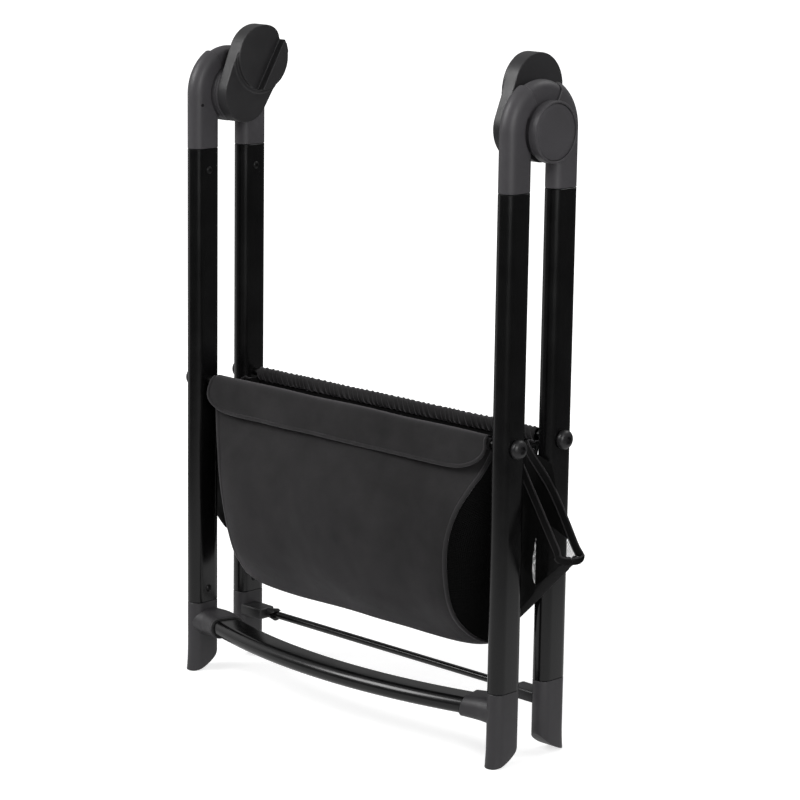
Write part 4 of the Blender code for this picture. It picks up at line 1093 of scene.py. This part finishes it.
def mouth_frame(u, reach):
    """A point of the mouth and the direction into the mesh there, square to the mouth's edge."""
    p, q = mesh_point(u, 0.0), mesh_point(u, reach)
    along = (mesh_point(min(u + 0.01, 1), 0.0) - mesh_point(max(u - 0.01, 0), 0.0)).normalized()
    inward = q - p
    return p, (inward - along * inward.dot(along)).normalized()


def mouth_tapes(side):
    """Tape round the mouth with two raised edges, whose paler tone is partly painted sheen."""
    count = 120
    faces = [Vector((0, -1 if k < count / 2 else 1, 0)) for k in range(count + 1)]
    tapes = []
    for label, inset, wide, thick, mat in (("tape", 0.0048, 0.0048, 0.0007, mesh_tape),
                                           ("tape_edge_1", 0.0005, 0.0007, 0.0010, mesh_edge_painted_sheen),
                                           ("tape_edge_2", 0.0092, 0.0007, 0.0010, mesh_edge_painted_sheen)):
        line = []
        for k in range(count + 1):
            p, inward = mouth_frame(k / count, 0.10)
            line.append(mirrored(side, p + inward * inset))
        tapes.append(strip_along(f"mesh_{label}_{hand[side]}", line, faces, wide, thick, mat, 6))
    return tapes


def mesh_end(side):
    """A mesh end with its tapes, hem and two near-black sheets of painted shade: one along the inside of the
    mouth, one between the legs.
    """
    def place(u, v):
        return mirrored(side, mesh_point(u, v))

    # a near-black strip along the inside of the mouth: painted shade
    def shade_in_mouth(t, v):
        wide = 0.0230 * min(1.0, 7 * v)
        first = 0.0085 - 0.0185 * max(0.0, 1 - abs(v - 0.34) / 0.20)
        p, inward = mouth_frame(0.645 + 0.335 * v, 0.12)
        ripple = 0.0006 * math.sin(40 * v + 5 * t)
        p += inward * (first + (0.0085 + wide - first) * t)
        return mirrored(side, p + Vector((0, ripple + 0.0006, 0)))

    def hem(t, v):
        v = 0.02 + 0.96 * v
        width = 0.0035 + 0.0105 * min(1.0, v / 0.45)
        first, last = mesh_walk(v, -1, width), mesh_walk(v, 1, width)
        u = first + (last - first) * t
        away = min(1.0, abs(u - 0.5) * 20) * (-1 if u < 0.5 else 1)
        return mirrored(side, mesh_point(u, v) + Vector((0.0004, 0.0006 * away, 0)))

    # a near-black sheet between the legs: painted shade
    def shade_between_legs(t, v):
        z, far = ease(shade_between_legs_bounds, v)
        x = shade_between_legs_near + (far - shade_between_legs_near) * t
        wave = 0.0010 * math.sin(9.0 * t + 12 * v) * (1 - t)
        return mirrored(side, (x, axis_y - 0.0086 + 0.0016 * t + wave, z))

    obj = cloth_grid(f"mesh_end_{hand[side]}", place, 90, 60, mesh_flat, mesh_net)
    hung(obj, "mesh", f"basket_mesh_{hand[side]}")
    trims = mouth_tapes(side)
    for label, surface, across, down, flat, mat in (
            ("shade_in_mouth", shade_in_mouth, 10, 50, (0.015, 0.120), mesh_shade),
            ("hem", hem, 16, 50, (0.028, 0.15), mesh_tape),
            ("shade_between_legs", shade_between_legs, 14, 30, (0.034, 0.105), mesh_shade)):
        trims.append(cloth_grid(f"mesh_{label}_{hand[side]}", surface, across, down, flat, mat))
    for trim in trims:
        hung(trim, "mesh")
    return obj, trims


for side in ways:
    core(side)
    spring(side)
    outer_drum(side)
    inner_drum(side)
    bracket(side)
    for end in ways:
        leg(side, end)
        elbow(side, end)
        foot(side, end)
        knob(side, end)
        screw(side, end, "elbow", elbow_screw_z)
        screw(side, end, "foot", foot_screw_z)
crossbar()
rear_bar()

body_cloth = basket_body()
bindings = [side_binding(side) for side in ways]
front_cover = front_sleeve()
flap_cloth, flap_trim = flap()
rear_cover = rear_sleeve()
ends = {side: mesh_end(side) for side in ways}


# Floor, backdrop and light
white = (1, 1, 1, 1)
floor_tone = (0.62, 0.62, 0.62, 1)
floor_seen_near, floor_gloss_near, floor_gloss_far = 0.68, 0.68, 0.07
sky_low, sky_high = 0.16, 0.42


def floor_material():
    """Pale ground that reads as white, keeps the object's shadow and grows dim far off in the gloss."""
    g = Look("floor_pale")
    g.made({"Base Color": floor_tone, "Roughness": 0.85, "Specular IOR Level": 0.1,
            "Normal": g.bump(g.noise(30.0, 3.0), 0.02, 0.0005)})
    reach = g.add("VectorMath", {0: g.coordinates("Object")}, operation="LENGTH").outputs["Value"]
    seen = g.mapped(reach, 0.35, 1.6, floor_seen_near, 1.0)
    mirrored_tone = g.mapped(reach, 0.58, 1.45, floor_gloss_near, floor_gloss_far)
    glow = g.add("Emission", {"Strength": g.calc("MULTIPLY", g.straight_rays(), seen)})
    lit = g.add("AddShader", {0: g.shader.outputs["BSDF"], 1: glow.outputs["Emission"]})
    gloss = g.add("Emission", {"Strength": mirrored_tone})
    path = g.add("LightPath", {})
    mix = g.add("MixShader", {"Fac": path.outputs["Is Glossy Ray"], 1: lit.outputs[0],
                              2: gloss.outputs["Emission"]})
    g.feed(g.nodes["Material Output"], {"Surface": mix.outputs[0]})
    return g.material


bm = bmesh.new()
bmesh.ops.create_grid(bm, x_segments=2, y_segments=2, size=14.0)
floor = from_bmesh("floor", bm, floor_material())
floor.location = (0, 0, -0.0002)

world = bpy.data.worlds.new("studio")
bpy.context.scene.world = world
world.use_nodes = True
sky = Graph(world.node_tree)
dome = sky.nodes["Background"]
height = sky.add("SeparateXYZ", {"Vector": sky.coordinates("Generated")})
sky.feed(dome, {"Color": white, "Strength": sky.mapped(height.outputs["Z"], 0.10, 0.50, sky_low, sky_high)})
seen_white = sky.add("Background", {"Color": white, "Strength": 1.0})
choose = sky.add("MixShader", {"Fac": sky.straight_rays(), 1: dome.outputs["Background"],
                               2: seen_white.outputs["Background"]})
sky.feed(sky.nodes["World Output"], {"Surface": choose.outputs[0]})


def lamp(name, at, target, size, power):
    data = bpy.data.lights.new(name, "AREA")
    data.shape = "RECTANGLE"
    data.size, data.size_y = size
    data.energy = power
    obj = bpy.data.objects.new(name, data)
    bpy.context.scene.collection.objects.link(obj)
    obj.location = at
    obj.rotation_euler = (Vector(target) - Vector(at)).to_track_quat("-Z", "Y").to_euler()


lamp("key", (-1.6, -2.1, 2.3), (0, 0, 0.35), (1.5, 1.5), 66)
lamp("fill", (2.6, -1.2, 1.3), (0, 0, 0.40), (1.4, 1.6), 39)
lamp("back", (0.9, 2.2, 2.8), (0, 0, 0.4), (1.8, 1.4), 22)
lamp("edge", (-1.35, -0.25, 0.46), (0, -0.1, 0.46), (1.25, 0.95), 1.7)

# Camera
azimuth, elevation, roll = math.radians(44.42), math.radians(12.01), math.radians(0.845)
distance, focal_pixels, picture_pixels, sensor_width = 3.1809, 2914.2, 800, 36
target = Vector((0.02265, 0.02220 + axis_y, 0.3502))
away = Vector((math.sin(azimuth) * math.cos(elevation), -math.cos(azimuth) * math.cos(elevation),
               math.sin(elevation)))
right = Vector((math.cos(azimuth), math.sin(azimuth), 0))
above = away.cross(right)
camera_data = bpy.data.cameras.new("camera")
camera_data.sensor_width = sensor_width
camera_data.lens = focal_pixels * sensor_width / picture_pixels
camera = bpy.data.objects.new("camera", camera_data)
bpy.context.scene.collection.objects.link(camera)
turned = Matrix(((right.x, above.x, away.x), (right.y, above.y, away.y), (right.z, above.z, away.z)))
camera.matrix_world = (Matrix.Translation(target + away * distance) @ turned.to_4x4()
                       @ Matrix.Rotation(roll, 4, "Z"))
bpy.context.scene.camera = camera

bpy.context.scene.view_settings.view_transform = "Standard"
